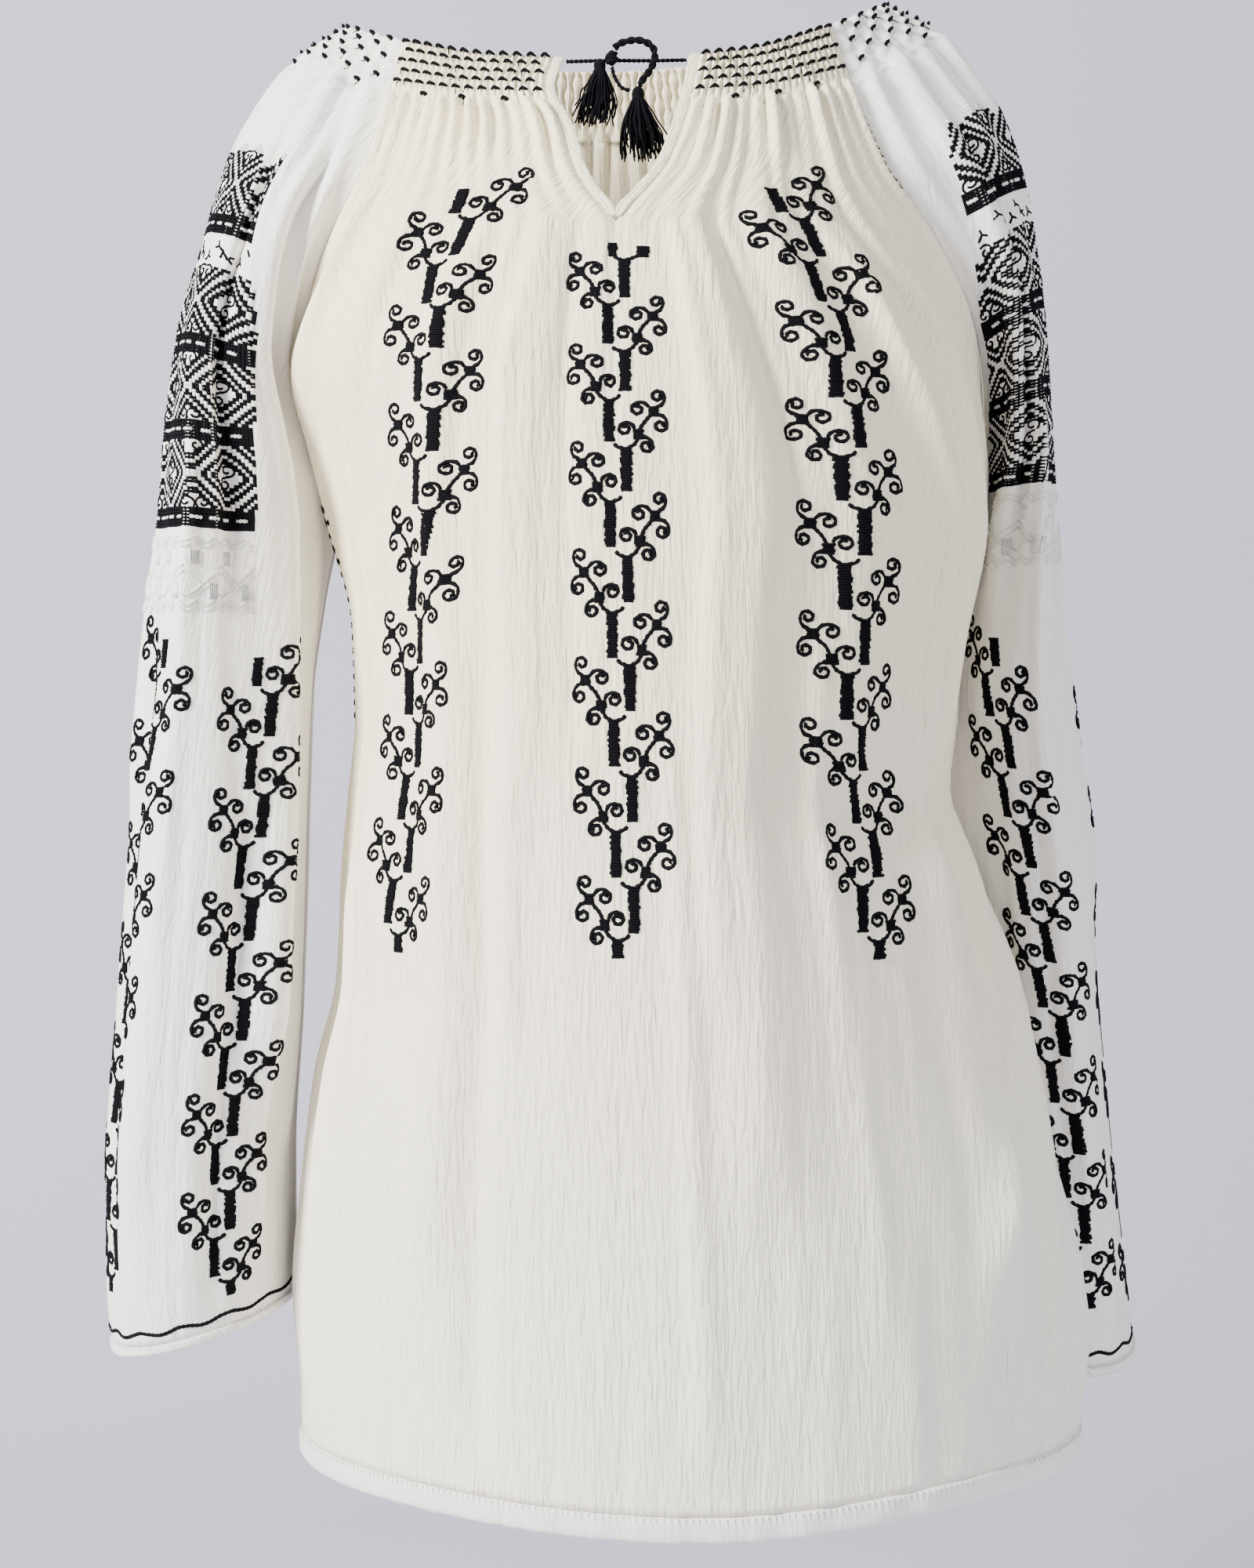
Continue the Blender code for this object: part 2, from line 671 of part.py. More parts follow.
def build_back(pieces, collection):
    """The back: one cloth between the back raglan seams and the side seams."""
    wall = Wall()
    cloth = pieces["back"]
    rows = []
    raglan = {0: (pieces["sleeve_right"], 1), 1: (pieces["sleeve_left"], 0)}
    for level, drop in gathered_levels():
        share = gathered_shares(BACK_PLEATS, level)
        relief = pleat_relief(BACK_PLEATS, drop)
        rows.append(add_row(wall, cloth, drop, share, relief, raglan))
    share = even(BACK_COLUMNS)
    flat = np.zeros(BACK_COLUMNS + 1)
    side = {0: (pieces["front_right"], 1), 1: (pieces["front_left"], 0)}
    for drop in RAGLAN_DROPS + BODY_DROPS[:-1] + (HEM_TOP,):
        seams = raglan if drop <= UNDERARM else side
        rows.append(add_row(wall, cloth, drop, share, flat, seams))
    wall.fill(rows)
    return wall.solid("back_panel", CLOTH, CREAM, collection)


def build_sleeve(name, pieces, neighbours, end_drop, collection):
    """A sleeve: an open arc down to the underarm, then rings down to the cuff."""
    wall = Wall()
    cloth = pieces[name]
    rows = []
    for level, drop in gathered_levels():
        share = gathered_shares(SLEEVE_PLEATS, level)
        relief = pleat_relief(SLEEVE_PLEATS, drop)
        rows.append(add_row(wall, cloth, drop, share, relief, neighbours))
    share = sleeve_shares(name == "sleeve_left")
    flat = np.zeros(len(share))
    for drop in RAGLAN_DROPS[:-1]:
        rows.append(add_row(wall, cloth, drop, share, flat, neighbours))
    for drop in (UNDERARM + 1.0,) + SLEEVE_DROPS + (end_drop - CUFF_BAND,):
        rows.append(add_ring(wall, cloth, drop, share))
    wall.fill(rows)
    return wall.solid(name, CLOTH, WHITE, collection)


def build_cuff(name, cloth, end_drop, collection):
    """The bound edge of a cuff: a narrow ring just below the sleeve."""
    wall = Wall()
    share = sleeve_shares(name == "cuff_edge_left")
    drops = (end_drop - CUFF_BAND + SEAM_GAP, end_drop - CUFF_BAND / 2, end_drop)
    rows = [add_ring(wall, cloth, drop, share, puff) for drop, puff in zip(drops, (0.0, CUFF_PUFF, 0.0))]
    wall.fill(rows)
    return wall.solid(name, CUFF_CLOTH, WHITE, collection)


def build_hem(name, parts, columns, collection):
    """The rolled hem of the front or the back, just below the cloth."""
    wall = Wall()
    drops = (HEM_TOP + SEAM_GAP, (HEM_TOP + HEM_END) / 2, HEM_END)
    rows = []
    share = even(columns)
    for drop, puff in zip(drops, (0.0, HEM_PUFF, 0.0)):
        relief = np.full(columns + 1, puff)
        indices = []
        for cloth, seams in parts:
            start = indices[-1] if indices else None
            row = add_row(wall, cloth, drop, share, relief, seams, start)
            indices = indices[:-1] + row.indices
        rows.append(Row(indices, even(len(indices) - 1)))
    wall.fill(rows)
    return wall.solid(name, HEM_CLOTH, WHITE, collection)


def build_slit_hem(name, edge, collection):
    """The narrow turned hem along one edge of the slit."""
    wall = Wall()
    rows = []
    inward = 1 if edge == "left" else -1
    share = even(2)

    def line(drop, part):
        cloth_end = notch(drop, edge) + inward * SEAM_GAP
        free_edge = read(SLIT, edge, drop)
        start, end = (cloth_end, free_edge) if edge == "left" else (free_edge, cloth_end)
        angles = np.array([front_angle(drop, start + (end - start) * one) for one in part])
        return body_point(drop, angles)

    strip_cloth = Cloth(line, ())
    for drop in SMOCKED_DROPS + RELEASED_DROPS + (NOTCH_LAST, SLIT_HEM_END):
        points = strip_cloth.folded(drop, share)
        normals = np.repeat(strip_cloth.normals(drop, [0.5]), 3, axis=0)
        rows.append(Row(wall.row(points, normals, np.array([0.0, SLIT_PUFF, 0.0])), share))
    wall.fill(rows)
    return wall.solid(name, SLIT_CLOTH, CREAM, collection)


def smooth_route(points, count):
    """Even points on a smooth curve through the route's own points."""
    points = np.array(points, dtype=float)
    padded = np.vstack([2 * points[0] - points[1], points, 2 * points[-1] - points[-2]])
    line = []
    for index in range(1, len(padded) - 2):
        p0, p1, p2, p3 = padded[index - 1:index + 3]
        for t in np.linspace(0, 1, 12, endpoint=False):
            line.append(0.5 * (2 * p1 + (p2 - p0) * t + (2 * p0 - 5 * p1 + 4 * p2 - p3) * t ** 2
                               + (3 * p1 - p0 - 3 * p2 + p3) * t ** 3))
    line.append(points[-1])
    line = np.array(line)
    walked = np.concatenate(([0.0], np.cumsum(np.linalg.norm(np.diff(line, axis=0), axis=1))))
    places = np.linspace(0, walked[-1], count)
    return np.stack([np.interp(places, walked, line[:, axis]) for axis in range(3)], axis=-1)


def build_cord(name, route, width, count, collection):
    """A round cord along a smooth route."""
    curve = bpy.data.curves.new(name, "CURVE")
    curve.dimensions = "3D"
    curve.bevel_depth = width / 2 * MM
    curve.bevel_resolution = 2
    curve.use_fill_caps = True
    spline = curve.splines.new("POLY")
    line = smooth_route(route, count)
    spline.points.add(len(line) - 1)
    for point, place in zip(spline.points, line):
        point.co = (*(place * MM), 1.0)
    curve.materials.append(make_material(name, BLACK, CORD_ROUGHNESS))
    made = bpy.data.objects.new(name, curve)
    collection.objects.link(made)
    return made


def build_knot(collection):
    """The tied knot: a squashed ball with the wrap's waist."""
    mesh = bpy.data.meshes.new("bow_knot")
    shape = bmesh.new()
    bmesh.ops.create_uvsphere(
        shape, u_segments=ROUND_SEGMENTS, v_segments=ROUND_RINGS, radius=1.0)
    for vertex in shape.verts:
        waist = 1 - 0.18 * math.cos(math.pi * vertex.co.z) ** 2
        vertex.co.x *= KNOT_SIZE[0] * waist * MM
        vertex.co.y *= KNOT_SIZE[1] * waist * MM
        vertex.co.z *= KNOT_SIZE[2] * MM
    shape.to_mesh(mesh)
    shape.free()
    made = make_object("bow_knot", mesh, BLACK, collection)
    made.location = [value * MM for value in KNOT_PLACE]
    return made


def build_tassel(name, tassel, collection, cutters):
    """A bound head with threads fused into it, which hang apart below."""
    head = bmesh.new()
    bmesh.ops.create_uvsphere(
        head, u_segments=ROUND_SEGMENTS, v_segments=ROUND_RINGS, radius=1.0)
    for vertex in head.verts:
        neck = 1 - 0.22 * math.exp(-((vertex.co.z - 0.05) / 0.28) ** 2)
        vertex.co.x *= tassel.head_radius * neck * MM
        vertex.co.y *= tassel.head_radius * neck * MM
        vertex.co.z *= tassel.head_height / 2 * MM
    mesh = bpy.data.meshes.new(name)
    head.to_mesh(mesh)
    head.free()
    made = make_object(name, mesh, BLACK, collection)
    made.location = (tassel.x * MM, tassel.y * MM, tassel.z * MM)

    threads = bmesh.new()
    golden = math.radians(137.5)
    for index in range(tassel.strands):
        ring = math.sqrt((index + 0.5) / tassel.strands)
        turn = golden * index
        root = tassel.head_radius * 0.72 * ring
        length = tassel.length * (0.78 + 0.22 * math.cos(2.4 * index))
        out = tassel.spread * ring * (0.8 + 0.2 * math.sin(1.7 * index))
        levels = []
        for step in range(THREAD_LEVELS):
            part = step / (THREAD_LEVELS - 1)
            bow = math.sin(math.pi * part / 2)
            x = math.cos(turn) * (root + out * bow) + tassel.lean_x * part ** 2
            y = math.sin(turn) * (root + out * 0.35 * bow)
            z = -tassel.head_height * 0.22 - length * part
            corners = []
            for corner in range(THREAD_SIDES):
                around = turn + corner * 2 * math.pi / THREAD_SIDES
                corners.append(threads.verts.new((
                    (x + THREAD_RADIUS * math.cos(around)) * MM,
                    (y + THREAD_RADIUS * math.sin(around)) * MM,
                    z * MM)))
            levels.append(corners)
        threads.faces.new(levels[0])
        threads.faces.new(reversed(levels[-1]))
        for upper, lower in zip(levels, levels[1:]):
            for corner in range(THREAD_SIDES):
                after = (corner + 1) % THREAD_SIDES
                threads.faces.new((upper[corner], lower[corner], lower[after], upper[after]))
    bmesh.ops.recalc_face_normals(threads, faces=threads.faces[:])
    thread_mesh = bpy.data.meshes.new(name + "_threads")
    threads.to_mesh(thread_mesh)
    threads.free()
    cutter = bpy.data.objects.new(name + "_threads", thread_mesh)
    cutter.location = made.location
    cutter.hide_render = True
    cutter.display_type = "WIRE"
    cutters.objects.link(cutter)
    join = made.modifiers.new("threads", "BOOLEAN")
    join.operation = "UNION"
    join.object = cutter
    return made


def main():
    for old in list(bpy.data.objects):
        bpy.data.objects.remove(old, do_unlink=True)
    collection = bpy.data.collections.new(COLLECTION)
    cutters = bpy.data.collections.new("thread_guides")
    bpy.context.scene.collection.children.link(collection)
    bpy.context.scene.collection.children.link(cutters)

    def left_sleeve(drop, share):
        return sleeve(SLEEVE_LEFT, drop, share)

    def right_sleeve(drop, share):
        return sleeve(SLEEVE_RIGHT, drop, share)

    pieces = {
        "front_left": Cloth(front_left, FOLDS["front_left"]),
        "front_right": Cloth(front_right, FOLDS["front_right"]),
        "back": Cloth(back, FOLDS["back"]),
        "sleeve_left": Cloth(left_sleeve, FOLDS["sleeve_left"], UNDERARM + 1.0),
        "sleeve_right": Cloth(right_sleeve, FOLDS["sleeve_right"], UNDERARM + 1.0),
    }
    build_front(pieces, collection)
    build_back(pieces, collection)
    left_neighbours = {0: (pieces["back"], 1), 1: (pieces["front_left"], 0)}
    right_neighbours = {0: (pieces["front_right"], 1), 1: (pieces["back"], 0)}
    build_sleeve("sleeve_left", pieces, left_neighbours, LEFT_END, collection)
    build_sleeve("sleeve_right", pieces, right_neighbours, RIGHT_END, collection)
    build_cuff("cuff_edge_left", pieces["sleeve_left"], LEFT_END, collection)
    build_cuff("cuff_edge_right", pieces["sleeve_right"], RIGHT_END, collection)
    front_parts = (
        (pieces["front_left"], {0: (pieces["back"], 1)}),
        (pieces["front_right"], {1: (pieces["back"], 0)}),
    )
    back_seams = {0: (pieces["front_right"], 1), 1: (pieces["front_left"], 0)}
    build_hem("hem_front", front_parts, FRONT_COLUMNS, collection)
    build_hem("hem_back", ((pieces["back"], back_seams),), BACK_COLUMNS, collection)
    build_slit_hem("slit_hem_left", "left", collection)
    build_slit_hem("slit_hem_right", "right", collection)

    build_cord("drawstring", DRAWSTRING_ROUTE, DRAWSTRING_WIDTH, DRAWSTRING_POINTS, collection)
    build_cord("bow_loop", BOW_ROUTE, BOW_WIDTH, BOW_POINTS, collection)
    build_cord("tie_strand", STRAND_ROUTE, STRAND_WIDTH, STRAND_POINTS, collection)
    build_knot(collection)
    build_tassel("tassel_left", TASSEL_LEFT, collection, cutters)
    build_tassel("tassel_right", TASSEL_RIGHT, collection, cutters)


main()
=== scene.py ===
"""The looks of a Romanian ie blouse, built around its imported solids.

The cloth follows the solids' own sections at a finer step, with gathers, creases and
crinkle of its own. Tables and shapes are in millimetres, and meshes in metres.
"""
import math
from collections import namedtuple

import bpy
import numpy as np
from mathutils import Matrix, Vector


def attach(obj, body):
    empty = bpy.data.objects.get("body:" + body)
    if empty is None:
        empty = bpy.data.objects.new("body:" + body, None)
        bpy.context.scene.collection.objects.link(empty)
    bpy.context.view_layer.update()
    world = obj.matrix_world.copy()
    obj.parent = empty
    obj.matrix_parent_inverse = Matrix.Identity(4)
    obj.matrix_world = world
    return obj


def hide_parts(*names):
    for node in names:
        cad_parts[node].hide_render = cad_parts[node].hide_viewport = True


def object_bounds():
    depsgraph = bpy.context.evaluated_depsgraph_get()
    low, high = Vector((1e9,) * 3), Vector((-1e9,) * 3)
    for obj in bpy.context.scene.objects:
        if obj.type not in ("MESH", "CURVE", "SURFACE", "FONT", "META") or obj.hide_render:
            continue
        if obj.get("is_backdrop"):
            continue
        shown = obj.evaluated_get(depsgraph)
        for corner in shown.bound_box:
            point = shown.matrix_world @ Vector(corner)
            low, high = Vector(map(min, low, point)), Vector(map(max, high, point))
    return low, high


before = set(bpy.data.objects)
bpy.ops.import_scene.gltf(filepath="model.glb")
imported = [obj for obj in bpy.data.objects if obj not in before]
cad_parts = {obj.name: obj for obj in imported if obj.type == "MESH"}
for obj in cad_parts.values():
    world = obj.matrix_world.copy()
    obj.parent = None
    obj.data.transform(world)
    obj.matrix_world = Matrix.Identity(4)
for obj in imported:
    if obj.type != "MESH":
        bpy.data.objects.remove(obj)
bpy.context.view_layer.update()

MM = 0.001
SEAM_GAP = 0.34
ARM_GAP = 2.6

# Levels, in millimetres of drop below the shoulder line
UNDERARM = 255.0
HEM_TOP = 710.0
HEM_END = 722.0
CUFF_BAND = 6.0

# The slit
SLIT_HEM = 5.0
NOTCH_LAST = 94.0       # the last level with both edges apart
NOTCH_END = 106.0
SLIT_HEM_END = 103.0

# Body sections: widths at the sides and depths of front and back
Section = namedtuple("Section", "drop left right side front back")
BODY = (
    Section(0, -136, 135, 0, -85, 75),
    Section(45, -148, 150, 0, -108, 90),
    Section(100, -157, 169, 2, -128, 101),
    Section(170, -160, 184, 3, -141, 106),
    Section(215, -147, 185, 1, -145, 106),
    Section(255, -137, 184, 0, -147, 104),
    Section(310, -128, 173, 0, -147, 100),
    Section(350, -127, 167, 0, -147, 99),
    Section(390, -131, 158, 0, -147, 101),
    Section(430, -135, 176, 0, -148, 106),
    Section(480, -137, 192, 0, -150, 114),
    Section(530, -148, 204, 0, -152, 122),
    Section(600, -157, 221, 0, -155, 131),
    Section(660, -160, 229, 0, -158, 137),
    Section(722, -159, 234, 0, -161, 141),
)

# Where the raglan seams lie on a section, in degrees from +X
Seams = namedtuple("Seams", "drop front_left front_right back_left back_right")
SEAMS = (
    Seams(0, 220, 321, 141, 39),
    Seams(31, 221, 321, 142, 38),
    Seams(77, 217, 323, 146, 36),
    Seams(108, 208, 331, 151, 34),
    Seams(140, 198, 341, 158, 31),
    Seams(175, 188, 352, 164, 27),
    Seams(215, 178, 366, 167, 23),
    Seams(255, 170, 380, 170, 20),
)

# Where the side seams lie below the arms, in the same degrees
SideSeams = namedtuple("SideSeams", "drop left right")
SIDE_SEAMS = (SideSeams(255, 170, 20), SideSeams(350, 172, 15), SideSeams(722, 177, 8))

# Height of the neck edge round the neck
NeckEdge = namedtuple("NeckEdge", "angle height")
NECK = (
    NeckEdge(0, 10),
    NeckEdge(39, 6),
    NeckEdge(90, -3),
    NeckEdge(141, -4),
    NeckEdge(180, -1),
    NeckEdge(220, -20),
    NeckEdge(245, -33),
    NeckEdge(270, -37),
    NeckEdge(295, -31),
    NeckEdge(321, -12),
    NeckEdge(345, 4),
    NeckEdge(360, 10),
)

# How much higher the hem lies than its lowest level, round the body
HemLift = namedtuple("HemLift", "angle height")
HEM_LIFT = (
    HemLift(0, 3),
    HemLift(90, 3),
    HemLift(180, 3),
    HemLift(225, 6),
    HemLift(270, 2),
    HemLift(315, 9),
    HemLift(340, 7),
    HemLift(360, 3),
)
HEM_LIFT_FROM = 480.0

# The middle line of the front, and the edges of the slit
Middle = namedtuple("Middle", "drop across")
MIDDLE = (Middle(0, 3), Middle(100, 0), Middle(474, 5), Middle(722, 8))
Slit = namedtuple("Slit", "drop left right")
SLIT = (
    Slit(0, -25, 35),
    Slit(20, -29, 32),
    Slit(47, -20, 26),
    Slit(72, -14, 18),
    Slit(86, -8, 9),
    Slit(100, -0.2, 0.2),
    Slit(722, -0.2, 0.2),
)

# Sleeves: the outer line, the inner line below the arm, and the section's half depth.
# point is the power of the ring's shape: 1 is pointed at the seams, 2 is an oval.
Sleeve = namedtuple(
    "Sleeve", "drop outer_x outer_y outer_z inner_x inner_y inner_z half_depth point tilt")
SLEEVE_LEFT = (
    Sleeve(0, -136.5, 0, -1, 0, 0, 0, 0, 1.0, 0),
    Sleeve(31, -164, 0, -19, 0, 0, 0, 6, 1.0, 0),
    Sleeve(58, -182, 0, -42, 0, 0, 0, 14, 1.0, 0),
    Sleeve(80, -193, 0, -62, 0, 0, 0, 20, 1.0, 0),
    Sleeve(108, -202, 0, -90, 0, 0, 0, 28, 1.0, 0),
    Sleeve(140, -210, 0, -122, 0, 0, 0, 38, 1.0, 0),
    Sleeve(175, -217, 0, -158, 0, 0, 0, 48, 1.0, 0),
    Sleeve(215, -223, 0, -204, 0, 0, 0, 58, 1.0, 0),
    Sleeve(255, -227, 0, -250, -144, 22, -255, 65, 1.1, 0),
    Sleeve(290, -233, 0, -288, -151, 19, -290, 68, 1.4, 0),
    Sleeve(340, -239, 0, -340, -157, 11, -340, 71, 1.8, 0),
    Sleeve(420, -247, 0, -421, -159, 5, -419, 72, 2.0, 0),
    Sleeve(500, -253, 0, -502, -161, 2, -497, 72, 2.0, 0),
    Sleeve(580, -258, 0, -582, -165, 1, -571, 70, 2.0, 0),
    Sleeve(640, -257, 0, -640, -165, 3, -622, 68, 2.0, 0),
    Sleeve(672, -254, 0, -669, -165, 5, -645, 66, 2.0, 0),
)
SLEEVE_RIGHT = (
    Sleeve(0, 135.5, 0, 10, 0, 0, 0, 0, 1.0, 0),
    Sleeve(31, 163, 6, -2, 0, 0, 0, 6, 1.0, 0),
    Sleeve(58, 182, 9, -25, 0, 0, 0, 14, 1.0, 0),
    Sleeve(80, 195, 12, -44, 0, 0, 0, 20, 1.0, 0),
    Sleeve(108, 205, 14, -76, 0, 0, 0, 25, 1.0, 0),
    Sleeve(140, 210, 16, -112, 0, 0, 0, 31, 1.0, 0),
    Sleeve(175, 214, 18, -155, 0, 0, 0, 38, 1.0, 0),
    Sleeve(215, 218, 20, -204, 0, 0, 0, 46, 1.0, 0),
    Sleeve(255, 222, 24, -252, 178, 40, -255, 54, 1.1, 0),
    Sleeve(290, 227, 30, -290, 175, 48, -292, 59, 1.4, 1),
    Sleeve(340, 235, 40, -345, 172, 56, -342, 64, 1.8, 2),
    Sleeve(420, 249, 56, -428, 178, 66, -421, 68, 2.0, 3),
    Sleeve(500, 255, 67, -503, 184, 76, -500, 68, 2.0, 3),
    Sleeve(580, 264, 76, -583, 193, 84, -580, 67, 2.0, 3),
    Sleeve(640, 271, 81, -639, 200, 89, -640, 66, 2.0, 3),
    Sleeve(696, 278, 85, -690, 205, 93, -692, 64, 2.0, 3),
)
LEFT_END = SLEEVE_LEFT[-1].drop
RIGHT_END = SLEEVE_RIGHT[-1].drop

# Large soft folds. share is the place across the piece, lean pushes the crest sideways.
Fold = namedtuple("Fold", "share top bottom width depth lean")
FOLDS = {
    "front_left": (
        Fold(2 / 15, 120, 700, 0.05, 5.0, -1.0),
        Fold(5 / 15, 60, 560, 0.05, 5.0, 0.0),
        Fold(9 / 15, 90, 640, 0.055, 6.0, 1.0),
        Fold(12 / 15, 70, 420, 0.05, 5.0, 0.0),
    ),
    "front_right": (
        Fold(3 / 15, 80, 600, 0.055, 6.0, 0.0),
        Fold(6 / 15, 60, 420, 0.05, 5.0, 1.0),
        Fold(9 / 15, 90, 690, 0.055, 6.0, 0.0),
        Fold(13 / 15, 330, 720, 0.05, 5.0, 1.0),
    ),
    "back": (
        Fold(5 / 24, 90, 640, 0.030, 5.0, 0.0),
        Fold(8 / 24, 60, 700, 0.035, 7.0, 0.0),
        Fold(11 / 24, 70, 520, 0.030, 5.0, 0.0),
        Fold(14 / 24, 60, 660, 0.035, 7.0, 0.0),
        Fold(16.5 / 24, 80, 560, 0.040, 5.0, 0.0),
        Fold(19 / 24, 70, 690, 0.030, 5.0, 0.0),
    ),
    "sleeve_left": (
        Fold(0.885, 60, 560, 0.036, 10.0, -3.0),
        Fold(0.20, 80, 560, 0.040, 7.0, 0.0),
        Fold(0.34, 200, 672, 0.040, 5.0, 0.0),
        Fold(0.66, 330, 672, 0.040, 4.0, 0.0),
    ),
    "sleeve_right": (
        Fold(0.15, 60, 310, 0.042, 5.0, 1.0),
        Fold(0.78, 90, 600, 0.045, 4.0, 0.0),
        Fold(0.62, 200, 696, 0.040, 5.0, 0.0),
        Fold(0.34, 360, 696, 0.040, 4.0, 0.0),
    ),
}
FOLD_EASE = 70.0        # length over which a fold rises and dies


def read(table, name, place):
    """Read a column of a table at one place, on a smooth curve through its rows."""
    known = np.array([row[0] for row in table], dtype=float)
    values = np.array([getattr(row, name) for row in table], dtype=float)
    steps = np.diff(known)
    slopes = np.diff(values) / steps
    tangents = np.concatenate(([slopes[0]], np.zeros(len(slopes) - 1), [slopes[-1]]))
    rising = slopes[:-1] * slopes[1:] > 0
    product = 2 * slopes[:-1] * slopes[1:]
    total = np.where(rising, slopes[:-1] + slopes[1:], 1.0)
    tangents[1:-1] = np.where(rising, product / total, 0.0)
    place = np.clip(place, known[0], known[-1])
    index = np.clip(np.searchsorted(known, place, side="right") - 1, 0, len(steps) - 1)
    part = (place - known[index]) / steps[index]
    start = values[index] * (1 + 2 * part) * (1 - part) ** 2
    end = values[index + 1] * part ** 2 * (3 - 2 * part)
    leave = steps[index] * tangents[index] * part * (1 - part) ** 2
    arrive = steps[index] * tangents[index + 1] * part ** 2 * (part - 1)
    return start + end + leave + arrive


def ease(value, low, high):
    """Go smoothly from 0 at low to 1 at high."""
    part = np.clip((value - low) / (high - low), 0.0, 1.0)
    return part * part * (3 - 2 * part)


def unit(vectors):
    """Scale each row of vectors to length 1."""
    lengths = np.linalg.norm(vectors, axis=-1, keepdims=True)
    return vectors / np.maximum(lengths, 1e-9)


def seam_angle(name, drop):
    """The angle of one edge of the front or the back: its raglan seam, then its side seam."""
    if drop <= UNDERARM:
        return read(SEAMS, name, drop)
    side = "left" if name.endswith("left") else "right"
    return read(SIDE_SEAMS, side, drop) + (360 if name == "front_right" else 0)


def body_point(drop, angle):
    """Points of the body's section at one drop, at angles in degrees from +X."""
    left, right, side, front, back = (read(BODY, name, drop) for name in BODY[0]._fields[1:])
    turn = np.radians(angle)
    across = np.cos(turn)
    deep = np.sin(turn)
    depth = np.where(deep < 0, side - front, back - side)
    fade = max(0.0, 1 - drop / UNDERARM) ** 1.5
    around = np.mod(angle, 360)
    lift = read(NECK, "height", around) * fade
    lift = lift + read(HEM_LIFT, "height", around) * ease(drop, HEM_LIFT_FROM, HEM_END)
    x = (left + right) / 2 + (right - left) / 2 * across
    y = side + depth * deep
    return np.stack([x, y, lift - drop + 0 * x], axis=-1)


def front_angle(drop, x):
    """The angle of the front's point that lies x across."""
    left = read(BODY, "left", drop)
    right = read(BODY, "right", drop)
    return 270 + math.degrees(math.asin((x - (left + right) / 2) / ((right - left) / 2)))


def notch(drop, edge):
    """Where the front's cloth ends beside the slit: its turned hem lies between."""
    outward = -SLIT_HEM if edge == "left" else SLIT_HEM
    last = read(SLIT, edge, NOTCH_LAST) + outward
    if drop <= NOTCH_LAST:
        return read(SLIT, edge, drop) + outward
    return last * max(0.0, NOTCH_END - drop) / (NOTCH_END - NOTCH_LAST)


def front_left(drop, share):
    """The front from its left seam to the slit or the middle."""
    start = seam_angle("front_left", drop)
    x = notch(drop, "left") if drop < NOTCH_END else read(MIDDLE, "across", drop)
    return body_point(drop, start + (front_angle(drop, x) - start) * share)


def front_right(drop, share):
    """The front from the slit or the middle to its right seam."""
    end = seam_angle("front_right", drop)
    x = notch(drop, "right") if drop < NOTCH_END else read(MIDDLE, "across", drop)
    start = front_angle(drop, x)
    return body_point(drop, start + (end - start) * share)


def back(drop, share):
    """The back from its right seam to its left seam."""
    start = seam_angle("back_right", drop)
    end = seam_angle("back_left", drop)
    return body_point(drop, start + (end - start) * share)


def arm_gap(drop):
    """How far a sleeve keeps off the body at the seam: nothing above, its gap under the arm."""
    return ARM_GAP * ease(drop, 150, 205)


def clear_of_body(points, share, gap):
    """Push points out of the body's section, softly, to lie at least gap outside it."""
    x, y, z = points.T
    drop = np.minimum(-z, HEM_END)
    left, right, side, front, rear = (read(BODY, name, drop) for name in BODY[0]._fields[1:])
    middle = (left + right) / 2
    width = (right - left) / 2
    depth = np.where(y < side, side - front, rear - side)
    away = np.hypot((x - middle) / width, (y - side) / depth)
    least = 1 + gap / np.minimum(width, depth)
    soft = 0.05 * np.sin(np.pi * share)
    kept = least + 0.5 * (away - least + np.hypot(away - least, soft))
    return np.stack([middle + (x - middle) * kept / away, side + (y - side) * kept / away, z], axis=-1)


def sleeve(table, drop, share):
    """A sleeve's section: an arc between its two seams, and a ring below the arm.

    share runs from the back seam to the front one on the left sleeve, and from the
    front seam to the back one on the right sleeve.
    """
    is_left = table is SLEEVE_LEFT
    seams = ("back_left", "front_left") if is_left else ("front_right", "back_right")
    toward = 1 if is_left else -1
    outer = np.array([read(table, name, drop) for name in ("outer_x", "outer_y", "outer_z")])
    if drop <= UNDERARM:
        ends = []
        for seam in seams:
            angle = seam_angle(seam, drop)
            turn = math.radians(angle)
            away = np.array([math.cos(turn), math.sin(turn), 0.0])
            ends.append(body_point(drop, angle) + away * arm_gap(drop))
        first, last = ends
    else:
        rings = tuple(row for row in table if row.drop >= UNDERARM)
        first = np.array([read(rings, name, drop) for name in ("inner_x", "inner_y", "inner_z")])
        last = first
    share = np.asarray(share, dtype=float)[:, None]
    bulge = np.sin(np.pi * share) ** read(table, "point", drop)
    swing = np.sin(2 * np.pi * share) * toward
    half = read(table, "half_depth", drop)
    tilt = read(table, "tilt", drop)
    points = first + (last - first) * share + (outer - (first + last) / 2) * bulge
    points = points + swing * np.array([0.0, half, tilt])
    if drop > 150:
        points = clear_of_body(points, share[:, 0], arm_gap(drop))
    return points


